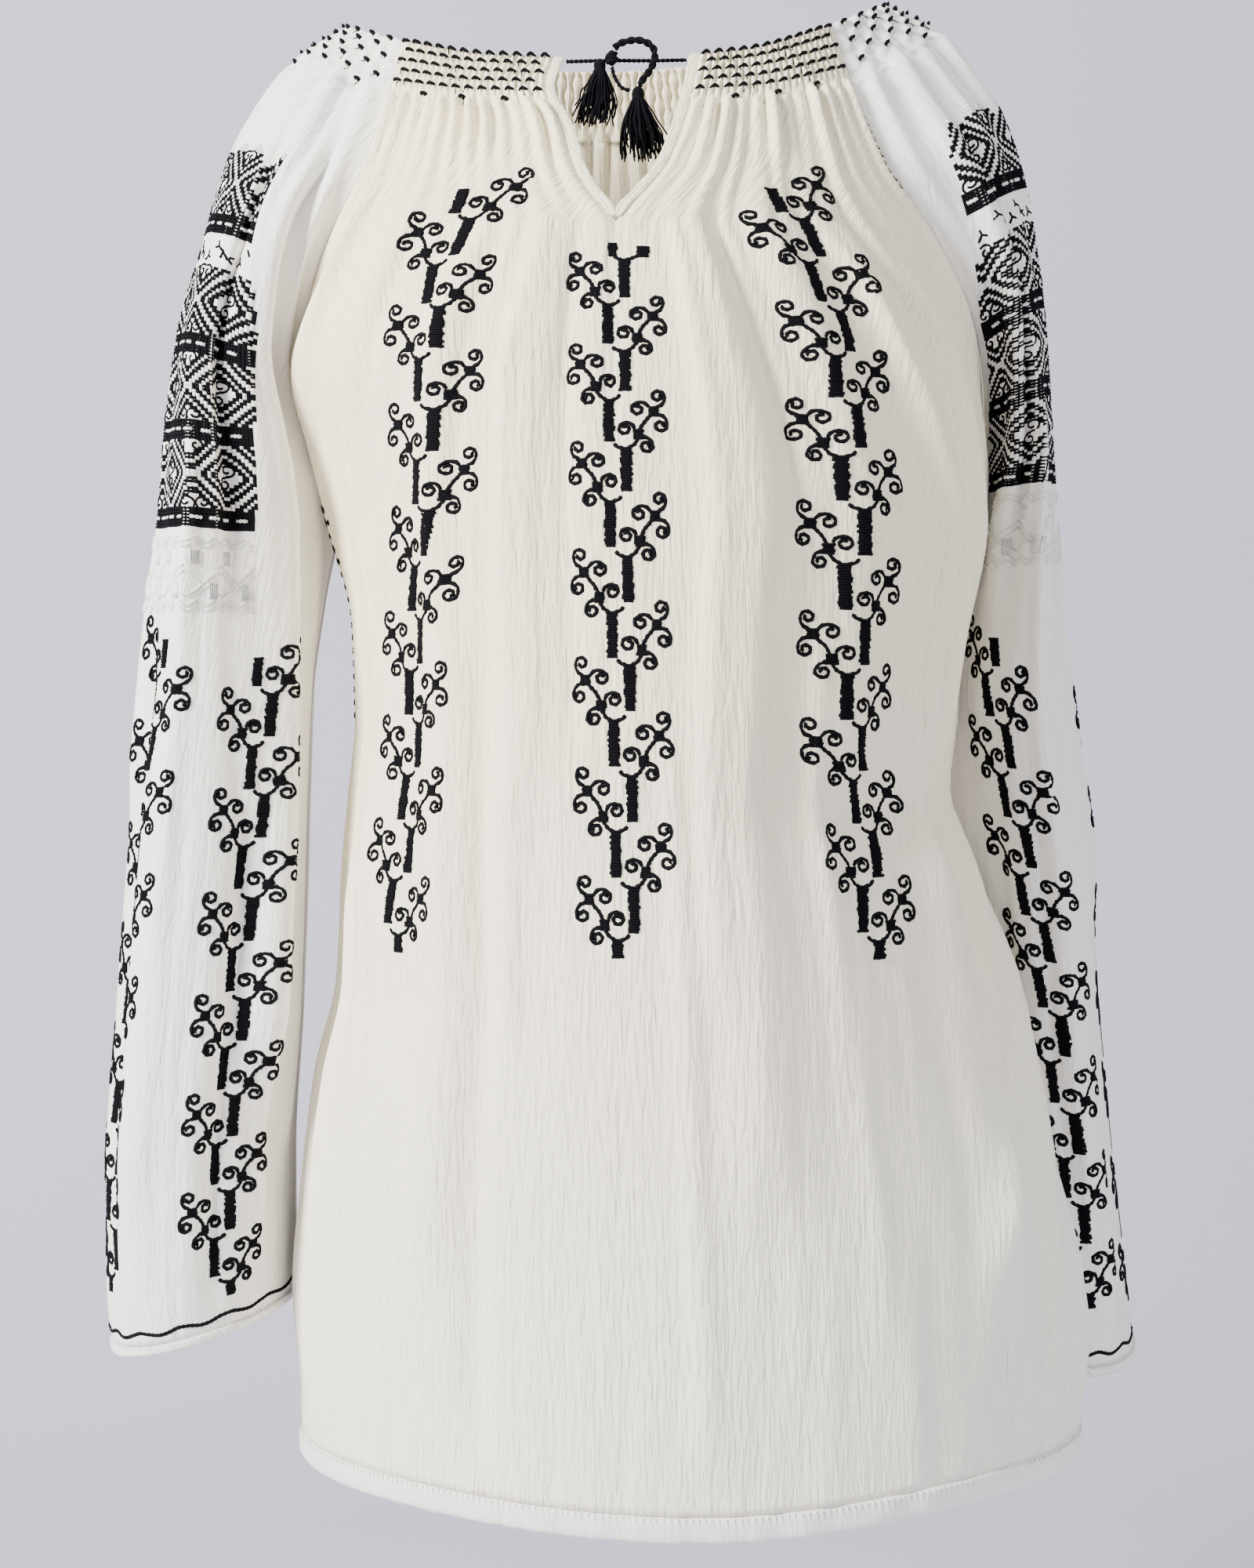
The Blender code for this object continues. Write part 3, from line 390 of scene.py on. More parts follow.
# Finer cloth
SMOCK_END = 34.0        # drop where the stitched gathers end
SMOCK_ROW = 6.2         # drop from one row of smocking stitches to the next
SMOCK_SWAY = 0.24       # how far a tube of cloth leans to its stitched neighbour, in tubes
SMOCK_HEIGHT = 2.2      # how far a smocked tube stands out
GATHER_HEIGHT = 4.2     # how far the loose gathers stand out below the smocking
GATHER_REACH = 100      # length over which they die out
TUBES = {"front": 24, "back": 52, "sleeve_left": 20, "sleeve_right": 20}    # front: of one half
SEEDS = {"front": 11, "back": 23, "sleeve_left": 31, "sleeve_right": 37}
ARC_END = 230.0         # where a sleeve's open arc starts to close

# Creases, listed one by one: place across, levels, width and height in millimetres, and drift across
Crease = namedtuple("Crease", "share top bottom width height drift")
CREASES = {
    "front": (
        Crease(-0.86, 60, 300, 0.030, 1.6, -0.03), Crease(-0.70, 110, 420, 0.022, -1.5, 0.04),
        Crease(-0.60, 240, 640, 0.030, 1.5, 0.05), Crease(-0.40, 80, 330, 0.020, 1.3, -0.02),
        Crease(-0.31, 300, 720, 0.030, -1.8, 0.02), Crease(-0.22, 130, 520, 0.018, 1.2, -0.02),
        Crease(-0.12, 60, 380, 0.022, -1.2, 0.02), Crease(-0.78, 400, 720, 0.030, 1.6, 0.03),
        Crease(-0.94, 300, 620, 0.024, -1.4, 0.05), Crease(0.08, 340, 722, 0.022, 1.3, 0.03),
        Crease(0.16, 90, 500, 0.022, 1.4, -0.02), Crease(0.27, 70, 290, 0.018, -1.4, 0.02),
        Crease(0.34, 280, 720, 0.028, 1.7, 0.04), Crease(0.45, 90, 360, 0.018, 1.2, 0.03),
        Crease(0.56, 60, 470, 0.022, 1.7, 0.06), Crease(0.66, 70, 330, 0.018, -1.6, 0.06),
        Crease(0.74, 110, 420, 0.022, 1.8, 0.05), Crease(0.90, 180, 330, 0.030, 1.2, -0.04),
        Crease(0.97, 300, 640, 0.035, 2.5, -0.42), Crease(1.02, 340, 722, 0.035, 2.3, -0.36),
        Crease(0.98, 250, 540, 0.028, -1.6, -0.34), Crease(1.04, 420, 722, 0.030, 1.8, -0.22),
    ),
    "back": (
        Crease(0.06, 300, 700, 0.020, 1.8, 0.06), Crease(0.13, 90, 420, 0.014, -1.4, 0.01),
        Crease(0.25, 70, 350, 0.012, 1.5, -0.01), Crease(0.29, 260, 722, 0.018, 1.9, 0.03),
        Crease(0.38, 80, 610, 0.014, -1.7, -0.02), Crease(0.44, 340, 722, 0.018, 1.6, 0.02),
        Crease(0.52, 70, 280, 0.012, 1.5, 0.01), Crease(0.56, 180, 640, 0.016, -1.7, 0.01),
        Crease(0.63, 90, 480, 0.014, 1.6, 0.02), Crease(0.72, 280, 722, 0.018, 1.8, -0.02),
        Crease(0.77, 70, 330, 0.012, -1.4, 0.02), Crease(0.86, 120, 560, 0.016, 1.7, -0.04),
        Crease(0.94, 330, 690, 0.020, 1.8, -0.06),
    ),
    "sleeve_left": (
        Crease(0.80, 60, 300, 0.016, -2.0, 0.01), Crease(0.72, 190, 610, 0.022, 1.6, -0.04),
        Crease(0.62, 290, 672, 0.022, -1.5, -0.02), Crease(0.55, 120, 420, 0.020, 1.3, 0.03),
        Crease(0.48, 330, 650, 0.020, -1.3, 0.02), Crease(0.40, 90, 520, 0.022, 1.5, 0.02),
        Crease(0.30, 250, 672, 0.022, -1.6, 0.03), Crease(0.16, 120, 480, 0.020, 1.7, 0.02),
        Crease(0.900, 50, 640, 0.014, 1.6, -0.02), Crease(0.84, 380, 672, 0.022, -1.6, -0.04),
        Crease(0.928, 50, 620, 0.010, -2.0, -0.02), Crease(0.955, 60, 600, 0.012, 1.7, -0.01),
    ),
    "sleeve_right": (
        Crease(0.20, 60, 300, 0.016, -2.0, -0.01), Crease(0.27, 190, 620, 0.022, 1.6, 0.04),
        Crease(0.37, 290, 690, 0.022, -1.5, 0.02), Crease(0.46, 120, 460, 0.020, 1.3, -0.03),
        Crease(0.54, 330, 670, 0.020, -1.4, -0.02), Crease(0.60, 90, 520, 0.022, 1.5, -0.02),
        Crease(0.71, 250, 690, 0.022, -1.6, -0.03), Crease(0.85, 120, 480, 0.020, 1.7, -0.02),
        Crease(0.09, 300, 650, 0.020, 1.6, 0.03), Crease(0.16, 380, 690, 0.022, -1.5, 0.04),
    ),
}
CREASE_EASE = 55.0      # length over which a crease rises and dies
CREASE_SCALE = 2.8      # on every crease's height
HELD_WIDTH = 21.0       # cloth that dense stitches hold flat, each way from a column's middle
HELD_SHARE = 0.8        # how much of its relief that cloth loses
# The crepe's crinkle: lengths of its waves and their heights
CRINKLES = ((8.3, 0.17), (11.7, 0.23), (17.0, 0.3), (29.0, 0.4))


def levels(*stretches):
    """Drops over several stretches, each (end, step) from where the last one ended."""
    found = [0.0]
    for end, step in stretches:
        count = max(1, round((end - found[-1]) / step))
        found += list(np.linspace(found[-1], end, count + 1)[1:])
    return np.array(found)


def even_row(curve, drop, share):
    """One row of a piece, spaced evenly along its own line."""
    steps = np.linspace(0, 1, 81)
    line = curve(drop, steps)
    walked = np.concatenate(([0.0], np.cumsum(np.linalg.norm(np.diff(line, axis=0), axis=1))))
    return curve(drop, np.interp(share, walked / walked[-1], steps))


def noise_lines(count, seed):
    """Random numbers from -1 to 1, the same on each run."""
    return np.random.default_rng(seed).uniform(-1, 1, count)


class Panel:
    """Cloth as a grid of points over levels and columns, with normals and relief.

    share is the place across: -1 to 1 on the front, where both halves meet at 0, and
    0 to 1 elsewhere. halves is the number of columns of one half, or 0.
    """

    def __init__(self, points, drops, share, halves=0, ring=False):
        self.points = points
        self.drops = drops
        self.share = share
        self.halves = halves
        self.ring = ring
        self.normals = self.find_normals(points)
        steps = np.linalg.norm(np.diff(points, axis=1), axis=2)
        walked = np.concatenate((np.zeros((len(points), 1)), np.cumsum(steps, axis=1)), axis=1)
        middle = halves if halves else len(share) // 2
        self.across = walked - walked[:, middle:middle + 1]

    def find_normals(self, points):
        """Outward normals, the same on both sides of a closed ring or of the front's middle."""
        down = np.gradient(points, axis=0)
        parts = [slice(0, self.halves), slice(self.halves, None)] if self.halves else [slice(None)]
        along = np.concatenate([np.gradient(points[:, part], axis=1) for part in parts], axis=1)
        if self.ring:
            below = self.drops > UNDERARM
            wrap = points[below, 1] - points[below, -2]
            along[below, 0] = wrap
            along[below, -1] = wrap
        if self.halves:
            below = self.drops >= NOTCH_END
            left = self.halves - 1
            wrap = points[below, left + 2] - points[below, left - 1]
            along[below, left] = wrap
            along[below, left + 1] = wrap
        return unit(np.cross(down, along))

    def raise_by(self, height, sideways=None):
        """Move the points out by height and along the row by sideways."""
        moved = self.points + self.normals * height[..., None]
        if sideways is not None:
            along = unit(np.gradient(self.points, axis=1))
            moved = moved + along * sideways[..., None]
        self.points = moved
        self.normals = self.find_normals(moved)

    def place(self, drop, share):
        """Row and column of points given by drop and share."""
        row = np.interp(drop, self.drops, np.arange(len(self.drops)))
        share = np.asarray(share, dtype=float)
        if self.halves:
            last = self.halves - 1
            column = np.where(share < 0, (share + 1) * last, self.halves + share * last)
        else:
            column = np.interp(share, self.share, np.arange(len(self.share)))
        return row, column

    def mix(self, grid, drop, share):
        """Values of a grid between its rows and columns."""
        row, column = self.place(drop, share)
        i = np.clip(np.floor(row).astype(int), 0, len(self.drops) - 2)
        j = np.clip(np.floor(column).astype(int), 0, self.points.shape[1] - 2)
        if self.halves:
            j = np.where((j == self.halves - 1) & (np.asarray(share) < 0), j - 1, j)
        u = row - i
        v = column - j
        if grid.ndim == 3:
            u = u[:, None]
            v = v[:, None]
        upper = grid[i, j] * (1 - v) + grid[i, j + 1] * v
        lower = grid[i + 1, j] * (1 - v) + grid[i + 1, j + 1] * v
        return upper * (1 - u) + lower * u

    def sample(self, drop, share, lift=0.0):
        """Points and normals on the outer side."""
        normals = unit(self.mix(self.normals, drop, share))
        return self.mix(self.points, drop, share) + normals * lift, normals

    def share_of_x(self, drop, x):
        """The shares of points of the front that lie at x across."""
        row = np.interp(drop, self.drops, np.arange(len(self.drops)))
        nearest = np.rint(row).astype(int)
        return np.array([np.interp(one, self.points[i, :, 0], self.share)
                         for i, one in zip(nearest, x)])

    def shares_at(self, drop, across):
        """The shares of points that lie a distance across from the middle line."""
        row = np.interp(drop, self.drops, np.arange(len(self.drops)))
        base = np.clip(np.floor(row).astype(int), 0, len(self.drops) - 2)
        share = np.empty(len(row))
        for i in np.unique(base):
            here = base == i
            part = row[here] - i
            upper = np.interp(across[here], self.across[i], self.share)
            lower = np.interp(across[here], self.across[i + 1], self.share)
            share[here] = upper * (1 - part) + lower * part
        return share

    def width(self, drop, share):
        """Distances across from the middle line to shares."""
        return self.mix(self.across, drop, share)


def fold_relief(drops, share, folds):
    """The solids' own large folds: height and shift of each point."""
    height = np.zeros((len(drops), len(share)))
    sideways = np.zeros_like(height)
    for fold in folds:
        live = ease(drops, fold.top, fold.top + FOLD_EASE)
        live = live * (1 - ease(drops, fold.bottom - FOLD_EASE, fold.bottom))
        rise = live[:, None] * np.exp(-((share[None, :] - fold.share) / fold.width) ** 2)
        height += fold.depth * rise
        sideways += fold.lean * rise
    return height, sideways


def crease_relief(drops, share, creases):
    """The height of the creases at each point."""
    height = np.zeros((len(drops), len(share)))
    for crease in creases:
        live = ease(drops, crease.top, crease.top + CREASE_EASE)
        live = live * (1 - ease(drops, crease.bottom - CREASE_EASE, crease.bottom))
        part = np.clip((drops - crease.top) / (crease.bottom - crease.top), 0, 1)
        centre = crease.share + crease.drift * part
        width = crease.width * (0.75 + 0.5 * part)
        away = (share[None, :] - centre[:, None]) / width[:, None]
        height += CREASE_SCALE * live[:, None] * crease.height * np.exp(-away ** 2)
    return height


def smocked_phase(drops, tubes):
    """The tube number at each point of the smocking, with its honeycomb sway."""
    live = (1 - ease(drops, SMOCK_END - 3, SMOCK_END + 6))[:, None]
    swing = SMOCK_SWAY * np.cos(math.pi * drops / SMOCK_ROW)[:, None] * live
    return tubes - swing * np.sin(math.pi * tubes)


def gather_relief(drops, share, tubes, seed):
    """Tubes of smocked cloth, and the soft gathers that run out of them below."""
    count = tubes * share[None, :] + 0 * drops[:, None]
    phase = smocked_phase(drops, count)
    smocked = 0.5 - 0.5 * np.cos(2 * math.pi * phase)
    rows = np.cos(math.pi * drops / SMOCK_ROW)[:, None] ** 2
    tight = (1 - ease(drops, SMOCK_END - 8, SMOCK_END + 1))[:, None]
    height = SMOCK_HEIGHT * smocked ** 0.8 * tight * (0.78 + 0.22 * (1 - rows))
    index = np.floor(count / 2 + 0.25).astype(int)
    table = noise_lines(400, seed)
    strength = 1.0 + 0.55 * table[index % 400]
    reach = GATHER_REACH * (1 + 0.6 * table[(index * 7 + 3) % 400])
    fade = np.exp(-np.maximum(drops[:, None] - SMOCK_END, 0) / reach)
    loose = ease(drops, SMOCK_END - 9, SMOCK_END + 6)[:, None]
    wander = 0.35 * np.sin(drops[:, None] / 38 + 5 * table[(index * 3 + 1) % 400])
    wave = 0.5 - 0.5 * np.cos(math.pi * count + wander * ease(drops, 60, 200)[:, None])
    height = height + GATHER_HEIGHT * wave ** 1.3 * strength * fade * loose
    ends = np.minimum(np.abs(share - share[0]), np.abs(share - share[-1])) * tubes
    return height * ease(ends, 0.0, 1.0)[None, :]


def crinkle(panel, seed):
    """Fine upright crinkle of crepe, in the mesh."""
    table = noise_lines(40, seed)
    across = panel.share[None, :] * np.median(np.ptp(panel.across, axis=1)) / np.ptp(panel.share)
    drops = panel.drops[:, None]
    height = 0 * across * drops
    for index, (length, size) in enumerate(CRINKLES):
        sway = 1.3 * np.sin(drops / (47 + 9 * index) + 6 * table[index])
        sway = sway + 0.9 * np.sin(drops / (19 + 5 * index) + across / 40 + 6 * table[index + 9])
        patch = 0.6 + 0.4 * np.sin(across / (37 + 11 * index) + drops / 90 + 6 * table[index + 18])
        height = height + size * patch * np.sin(2 * math.pi * across / length + sway)
    return height * ease(panel.drops, 20, 90)[:, None]


def make_back(drops, columns):
    """The back as a grid, evenly spaced along its own line."""
    share = np.linspace(0, 1, columns + 1)
    rows = [even_row(back, drop, share) for drop in drops]
    return finish_panel(Panel(np.array(rows), drops, share), FOLDS["back"], "back")


def make_sleeve(piece, drops, columns):
    """A sleeve as a grid: an arc above, and rings that close from the underarm down."""
    table = SLEEVE_LEFT if piece == "sleeve_left" else SLEEVE_RIGHT
    share = np.linspace(0, 1, columns + 1)
    upper = sleeve(table, ARC_END, share)
    lower = sleeve(table, UNDERARM + 1.0, share)
    rows = []
    for drop in drops:
        if ARC_END < drop <= UNDERARM:
            part = (drop - ARC_END) / (UNDERARM + 1.0 - ARC_END)
            rows.append(upper + (lower - upper) * part)
        else:
            rows.append(sleeve(table, drop, share))
    return finish_panel(Panel(np.array(rows), drops, share, ring=True), FOLDS[piece], piece)


def calm_beside(panel, lines):
    """How free the cloth is to fold at each point: less where dense stitches hold it flat."""
    free = np.ones(panel.points.shape[:2])
    for places in lines:
        known, across = zip(*places)
        centre = np.interp(panel.drops, known, across)[:, None]
        live = ease(panel.drops, known[0] - 25, known[0])[:, None]
        away = (panel.points[:, :, 0] - centre) / HELD_WIDTH
        free *= 1 - HELD_SHARE * live * np.exp(-away ** 4)
    return free


def finish_panel(panel, folds, piece, lines=()):
    """Raise the large folds, then the creases, the gathers and the crinkle."""
    seed = SEEDS[piece]
    panel.raise_by(*fold_relief(panel.drops, panel.share, folds))
    height = crease_relief(panel.drops, panel.share, CREASES[piece])
    height += gather_relief(panel.drops, panel.share, TUBES[piece], seed)
    height *= calm_beside(panel, lines)
    height += crinkle(panel, seed + 50)
    edge = np.minimum(panel.share - panel.share[0], panel.share[-1] - panel.share)
    panel.raise_by(height * ease(edge, 0, 0.025)[None, :])
    return panel


def make_front(drops, columns):
    """The front's two halves in one grid, which meet below the slit."""
    share = np.linspace(0, 1, columns + 1)
    left = np.array([even_row(front_left, drop, share) for drop in drops])
    right = np.array([even_row(front_right, drop, share) for drop in drops])
    across = np.concatenate((share - 1, share))
    panel = Panel(np.concatenate((left, right), axis=1), drops, across, halves=columns + 1)
    folds = [fold._replace(share=fold.share - 1) for fold in FOLDS["front_left"]]
    folds += FOLDS["front_right"]
    return finish_panel(panel, folds, "front", (COLUMN_LEFT, COLUMN_MIDDLE, COLUMN_RIGHT))


class Mesh:
    """Points, faces and cloth coordinates gathered for one piece."""

    def __init__(self):
        self.points = []
        self.faces = []
        self.coords = []
        self.count = 0

    def add(self, points, faces, coords=None):
        """Add points in millimetres, their faces and their places on the cloth."""
        self.points.append(points)
        self.faces += [[index + self.count for index in face] for face in faces]
        self.coords.append(np.zeros((len(points), 2)) if coords is None else coords)
        self.count += len(points)

    def piece(self, name, material, slot):
        """Make the piece, which rides on the one body."""
        mesh = bpy.data.meshes.new(name)
        points = np.concatenate(self.points) * MM
        mesh.from_pydata(points.tolist(), [], self.faces)
        layer = mesh.uv_layers.new(name="cloth")
        loops = np.empty(len(mesh.loops), dtype=int)
        mesh.loops.foreach_get("vertex_index", loops)
        coords = np.concatenate(self.coords)[loops]
        layer.data.foreach_set("uv", coords.ravel())
        mesh.shade_smooth()
        mesh.materials.append(material)
        mesh.update()
        made = bpy.data.objects.new(name, mesh)
        bpy.context.scene.collection.objects.link(made)
        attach(made, "root")
        return made


def grid_faces(panel, first):
    """Four-sided faces of a panel's grid, with its rings and halves joined where they meet."""
    rows, columns = panel.points.shape[:2]
    index = np.arange(rows * columns).reshape(rows, columns) + first
    if panel.ring:
        below = panel.drops > UNDERARM
        index[below, -1] = index[below, 0]
    if panel.halves:
        below = panel.drops >= NOTCH_END
        index[below, panel.halves] = index[below, panel.halves - 1]
    faces = np.stack([index[:-1, :-1], index[1:, :-1], index[1:, 1:], index[:-1, 1:]], axis=-1)
    if panel.halves:
        faces = np.delete(faces, panel.halves - 1, axis=1)
    return faces.reshape(-1, 4), index


def strip_faces(upper, lower):
    """Triangles between two rows of points, evenly spread and unequal in number."""
    faces = []
    a = 0
    b = 0
    while a < len(upper) - 1 or b < len(lower) - 1:
        if (a + 1) / (len(upper) - 1) <= (b + 1) / (len(lower) - 1) and a < len(upper) - 1:
            faces.append((upper[a], lower[b], upper[a + 1]))
            a += 1
        else:
            faces.append((upper[a], lower[b], lower[b + 1]))
            b += 1
    return faces


def shell(name, panels, material, slot, outward=0.45, inward=0.45):
    """A closed thin wall on panels that follow one another: both sides and the rims.

    outward and inward are one value, or one for each row of a single panel.
    """
    quads = []
    triangles = []
    edge_row = None
    first = 0
    for panel in panels:
        faces, index = grid_faces(panel, first)
        quads.append(faces)
        if edge_row is not None:
            if panel.halves:
                above = len(edge_row) // 2
                triangles += strip_faces(edge_row[:above], index[0, :panel.halves])
                triangles += strip_faces(edge_row[above:], index[0, panel.halves:])
            else:
                triangles += strip_faces(edge_row, index[0])
        edge_row = index[-1]
        first += index.size
    quads = np.concatenate(quads)
    triangles = np.array(triangles, dtype=int).reshape(-1, 3)
    edges = [faces[:, [k, (k + 1) % faces.shape[1]]]
             for faces in (quads, triangles) for k in range(faces.shape[1])]
    edges = np.concatenate(edges)
    open_edges = edges[~np.isin(edges[:, 0] * first + edges[:, 1], edges[:, 1] * first + edges[:, 0])]
    rims = np.stack([open_edges[:, 1], open_edges[:, 0], open_edges[:, 0] + first,
                     open_edges[:, 1] + first], axis=1)
    outer = []
    inner = []
    coords = []
    for panel in panels:
        out = np.broadcast_to(np.reshape(outward, (-1, 1, 1)), panel.points.shape)
        back_by = np.broadcast_to(np.reshape(inward, (-1, 1, 1)), panel.points.shape)
        outer.append((panel.points + panel.normals * out).reshape(-1, 3))
        inner.append((panel.points - panel.normals * back_by).reshape(-1, 3))
        down = np.repeat(panel.drops[:, None], panel.points.shape[1], axis=1)
        coords.append(np.stack([panel.across, down], axis=-1).reshape(-1, 2))
    points = np.concatenate(outer + inner)
    coords = np.concatenate(coords + coords)
    sides = [quads, quads[:, ::-1] + first, rims, triangles, triangles[:, ::-1] + first]
    used = np.unique(np.concatenate([faces.ravel() for faces in sides]))
    packed = np.zeros(2 * first, dtype=int)
    packed[used] = np.arange(len(used))
    mesh = Mesh()
    mesh.add(points[used], sum((packed[faces].tolist() for faces in sides), []), coords[used])
    return mesh.piece(name, material, slot)


# Threads on the cloth
STITCH = 2.1            # width of a laid thread
CURL_RADIUS = 2.9       # of the ring a curl winds in from
SATIN = 1.25            # height of one satin stitch in a solid block
CELL = 1.7              # one cross stitch of the shoulder bands


def add_thread(mesh, points, normals, width, height=0.5, sink=0.2, bead=0.0):
    """One closed three-sided thread along points on the cloth, with its flat side down."""
    count = len(points)
    along = unit(np.gradient(points, axis=0))
    side = unit(np.cross(normals, along))
    swell = 1 + bead * np.where(np.arange(count) % 2, 1.0, -1.0)[:, None]
    base = points - normals * sink
    corners = np.stack([base + side * swell * width / 2, points + normals * swell * height,
                        base - side * swell * width / 2], axis=1)
    faces = []
    for k in range(count - 1):
        for corner in range(3):
            after = (corner + 1) % 3
            faces.append((3 * k + corner, 3 * k + after, 3 * k + 3 + after, 3 * k + 3 + corner))
    last = 3 * count - 3
    faces.append((2, 1, 0))
    faces.append((last, last + 1, last + 2))
    walked = np.concatenate(([0.0], np.cumsum(np.linalg.norm(np.diff(points, axis=0), axis=1))))
    coords = np.stack([np.tile([0.0, 0.5, 1.0], (count, 1)) * width,
                       np.repeat(walked[:, None], 3, axis=1)], axis=-1)
    mesh.add(corners.reshape(-1, 3), faces, coords.reshape(-1, 2))


Stroke = namedtuple("Stroke", "across drops width bead")


def polyline(points, step):
    """Points on straight legs, about one step apart."""
    points = np.array(points, dtype=float)
    lengths = np.linalg.norm(np.diff(points, axis=0), axis=1)
    walked = np.concatenate(([0.0], np.cumsum(lengths)))
    count = max(2, int(round(walked[-1] / step)) + 1)
    places = np.linspace(0, walked[-1], count)
    return np.stack([np.interp(places, walked, points[:, axis]) for axis in (0, 1)], axis=-1)


def curl(start, centre, turns, step):
    """A small ring that winds in to its centre. Negative turns run clockwise."""
    away = np.array(start) - np.array(centre)
    radius = math.hypot(*away)
    angle = math.atan2(away[1], away[0])
    count = max(8, int(round(abs(turns) * 2 * math.pi * CURL_RADIUS * 0.75 / step)))
    part = np.linspace(0, 1, count)
    sizes = np.array([1.0, 0.88, 0.5, 0.26]) * CURL_RADIUS
    reach = np.interp(part, (0, 0.16, 0.52, 0.78, 1.0), (radius, *sizes))
    turn = angle + 2 * math.pi * turns * part
    return np.stack([centre[0] + reach * np.cos(turn), centre[1] + reach * np.sin(turn)], axis=-1)


def lay(mesh, panel, line, strokes, height=0.6):
    """Lay strokes beside a line of shares: line gives the share at each drop."""
    across = np.concatenate([stroke.across for stroke in strokes])
    drops = np.concatenate([stroke.drops for stroke in strokes])
    share = panel.shares_at(drops, panel.width(drops, line(drops)) + across)
    points, normals = panel.sample(drops, share, OUTWARD + 0.15)
    first = 0
    for stroke in strokes:
        last = first + len(stroke.across)
        add_thread(mesh, points[first:last], normals[first:last], stroke.width, height,
                   bead=stroke.bead)
        first = last


# The columns down the body and the sleeves: solid blocks by turns left and right of a
# line, each with a branch of curls. Places are in millimetres, outward and up from the
# middle of a block's top edge.
BLOCK_WIDTH = 5.2
BLOCK_HEIGHT = 20.8
BLOCK_OFFSET = 3.9      # from the line to a block's middle
BLOCK_PITCH = 24.9      # from one block's top down to the next
FIRST_BLOCK = 8.0       # where a column's first block starts
LAST_BLOCK = 8.0        # height of a column's last block
NODE = 4.8              # side of the solid square where curls meet
TWIGS = (
    ((0.8, 0.0), (3.6, 1.6), (5.5, 4.8), (5.6, 7.6)),
    ((-1.2, 0.0), (-4.0, 0.8), (-5.6, 2.6)),
    ((5.6, 7.6), (6.4, 9.6), (8.0, 12.8), (10.8, 16.0), (12.6, 18.8)),
)
KNOTS = ((5.6, 7.4), (12.6, 18.9))
Curl = namedtuple("Curl", "start centre turns")
CURLS = (
    Curl((4.0, 9.6), (-0.4, 9.8), 1.45),
    Curl((6.2, 5.6), (9.2, 1.2), -1.5),
    Curl((13.8, 20.6), (14.6, 26.0), 1.4),
    Curl((10.6, 20.6), (5.4, 19.6), 1.45),
    Curl((14.2, 17.0), (15.8, 11.4), -1.45),
)


def column_strokes(top, bottom, first_side, seed, crown=False, spread=1.0):
    """All strokes of one column between two drops. spread widens it across."""
    random = np.random.default_rng(seed)
    strokes = []

    def add(points, side, place, width=STITCH, bead=0.14):
        points = np.asarray(points, dtype=float)
        wobble = random.uniform(-0.12, 0.12, points.shape)
        out = BLOCK_OFFSET + points[:, 0] + wobble[:, 0]
        strokes.append(Stroke(side * spread * out,
                              place - points[:, 1] + wobble[:, 1], width, bead))

    def satin(out, up, half, side, place):
        reach = np.linspace(-half, half, 5)
        add(np.stack([out + reach, up + 0 * reach], axis=-1), side, place, SATIN * 1.35, 0.0)

    def solid(out, up, width, height, side, place):
        for level in np.arange(-height / 2, height / 2 + 0.1, SATIN):
            satin(out, up + level, width / 2 + random.uniform(-0.3, 0.3), side, place)

    count = int((bottom - top) / BLOCK_PITCH)
    for index in range(count):
        side = first_side * (1 if index % 2 else -1)
        place = top + BLOCK_PITCH * index + random.uniform(-0.6, 0.6)
        first = FIRST_BLOCK if index == 0 and not crown else 0.0
        last = LAST_BLOCK if index == count - 1 else BLOCK_HEIGHT
        for row in np.arange(first, last + 0.1, SATIN):
            half = BLOCK_WIDTH / 2 + random.uniform(-0.45, 0.35)
            shift = random.uniform(-0.25, 0.25)
            level = -row
            satin(shift, level, half, side, place)
        if index == 0 and crown:
            add(polyline([(0.5, 0), (4.0, 1.2), (8.0, 3.2)], 1.2), side, place)
            add(polyline([(-1.0, 0), (-3.6, 1.4), (-5.2, 4.0)], 1.2), side, place)
            solid(8.6, 5.0, 5.6, 6.0, side, place)
            solid(-5.5, 6.5, 4.4, 7.0, side, place)
        if index == 0:
            continue
        for twig in TWIGS:
            add(polyline(twig, 1.2), side, place)
        for out, up in KNOTS:
            solid(out, up, NODE, NODE, side, place)
        for one in CURLS:
            turns = one.turns + random.uniform(-0.08, 0.08)
            add(curl(one.start, one.centre, turns, 1.0), side, place)
    return strokes


def share_line(*places):
    """A line of shares through places, each a drop and a share."""
    known, shares = zip(*places)
    return lambda drop: np.interp(drop, known, shares)


def column_line(panel, places):
    """A line of shares on the front through places, each a drop and a distance across."""
    known, across = zip(*places)
    drops = panel.drops
    shares = panel.share_of_x(drops, np.interp(drops, known, across))
    return lambda drop: np.interp(drop, drops, shares)


# The shoulder bands in cross stitch: rows of cells from the top down
Band = namedtuple("Band", "kind rows")
BANDS = (
    Band("crown", 23), Band("border", 6), Band("sprigs", 10), Band("diamonds", 20),
    Band("border", 6), Band("diamonds", 20), Band("border", 6), Band("diamonds", 20),
    Band("border", 6),
)
DIAMOND_PITCH = 22      # cells from one diamond's middle to the next
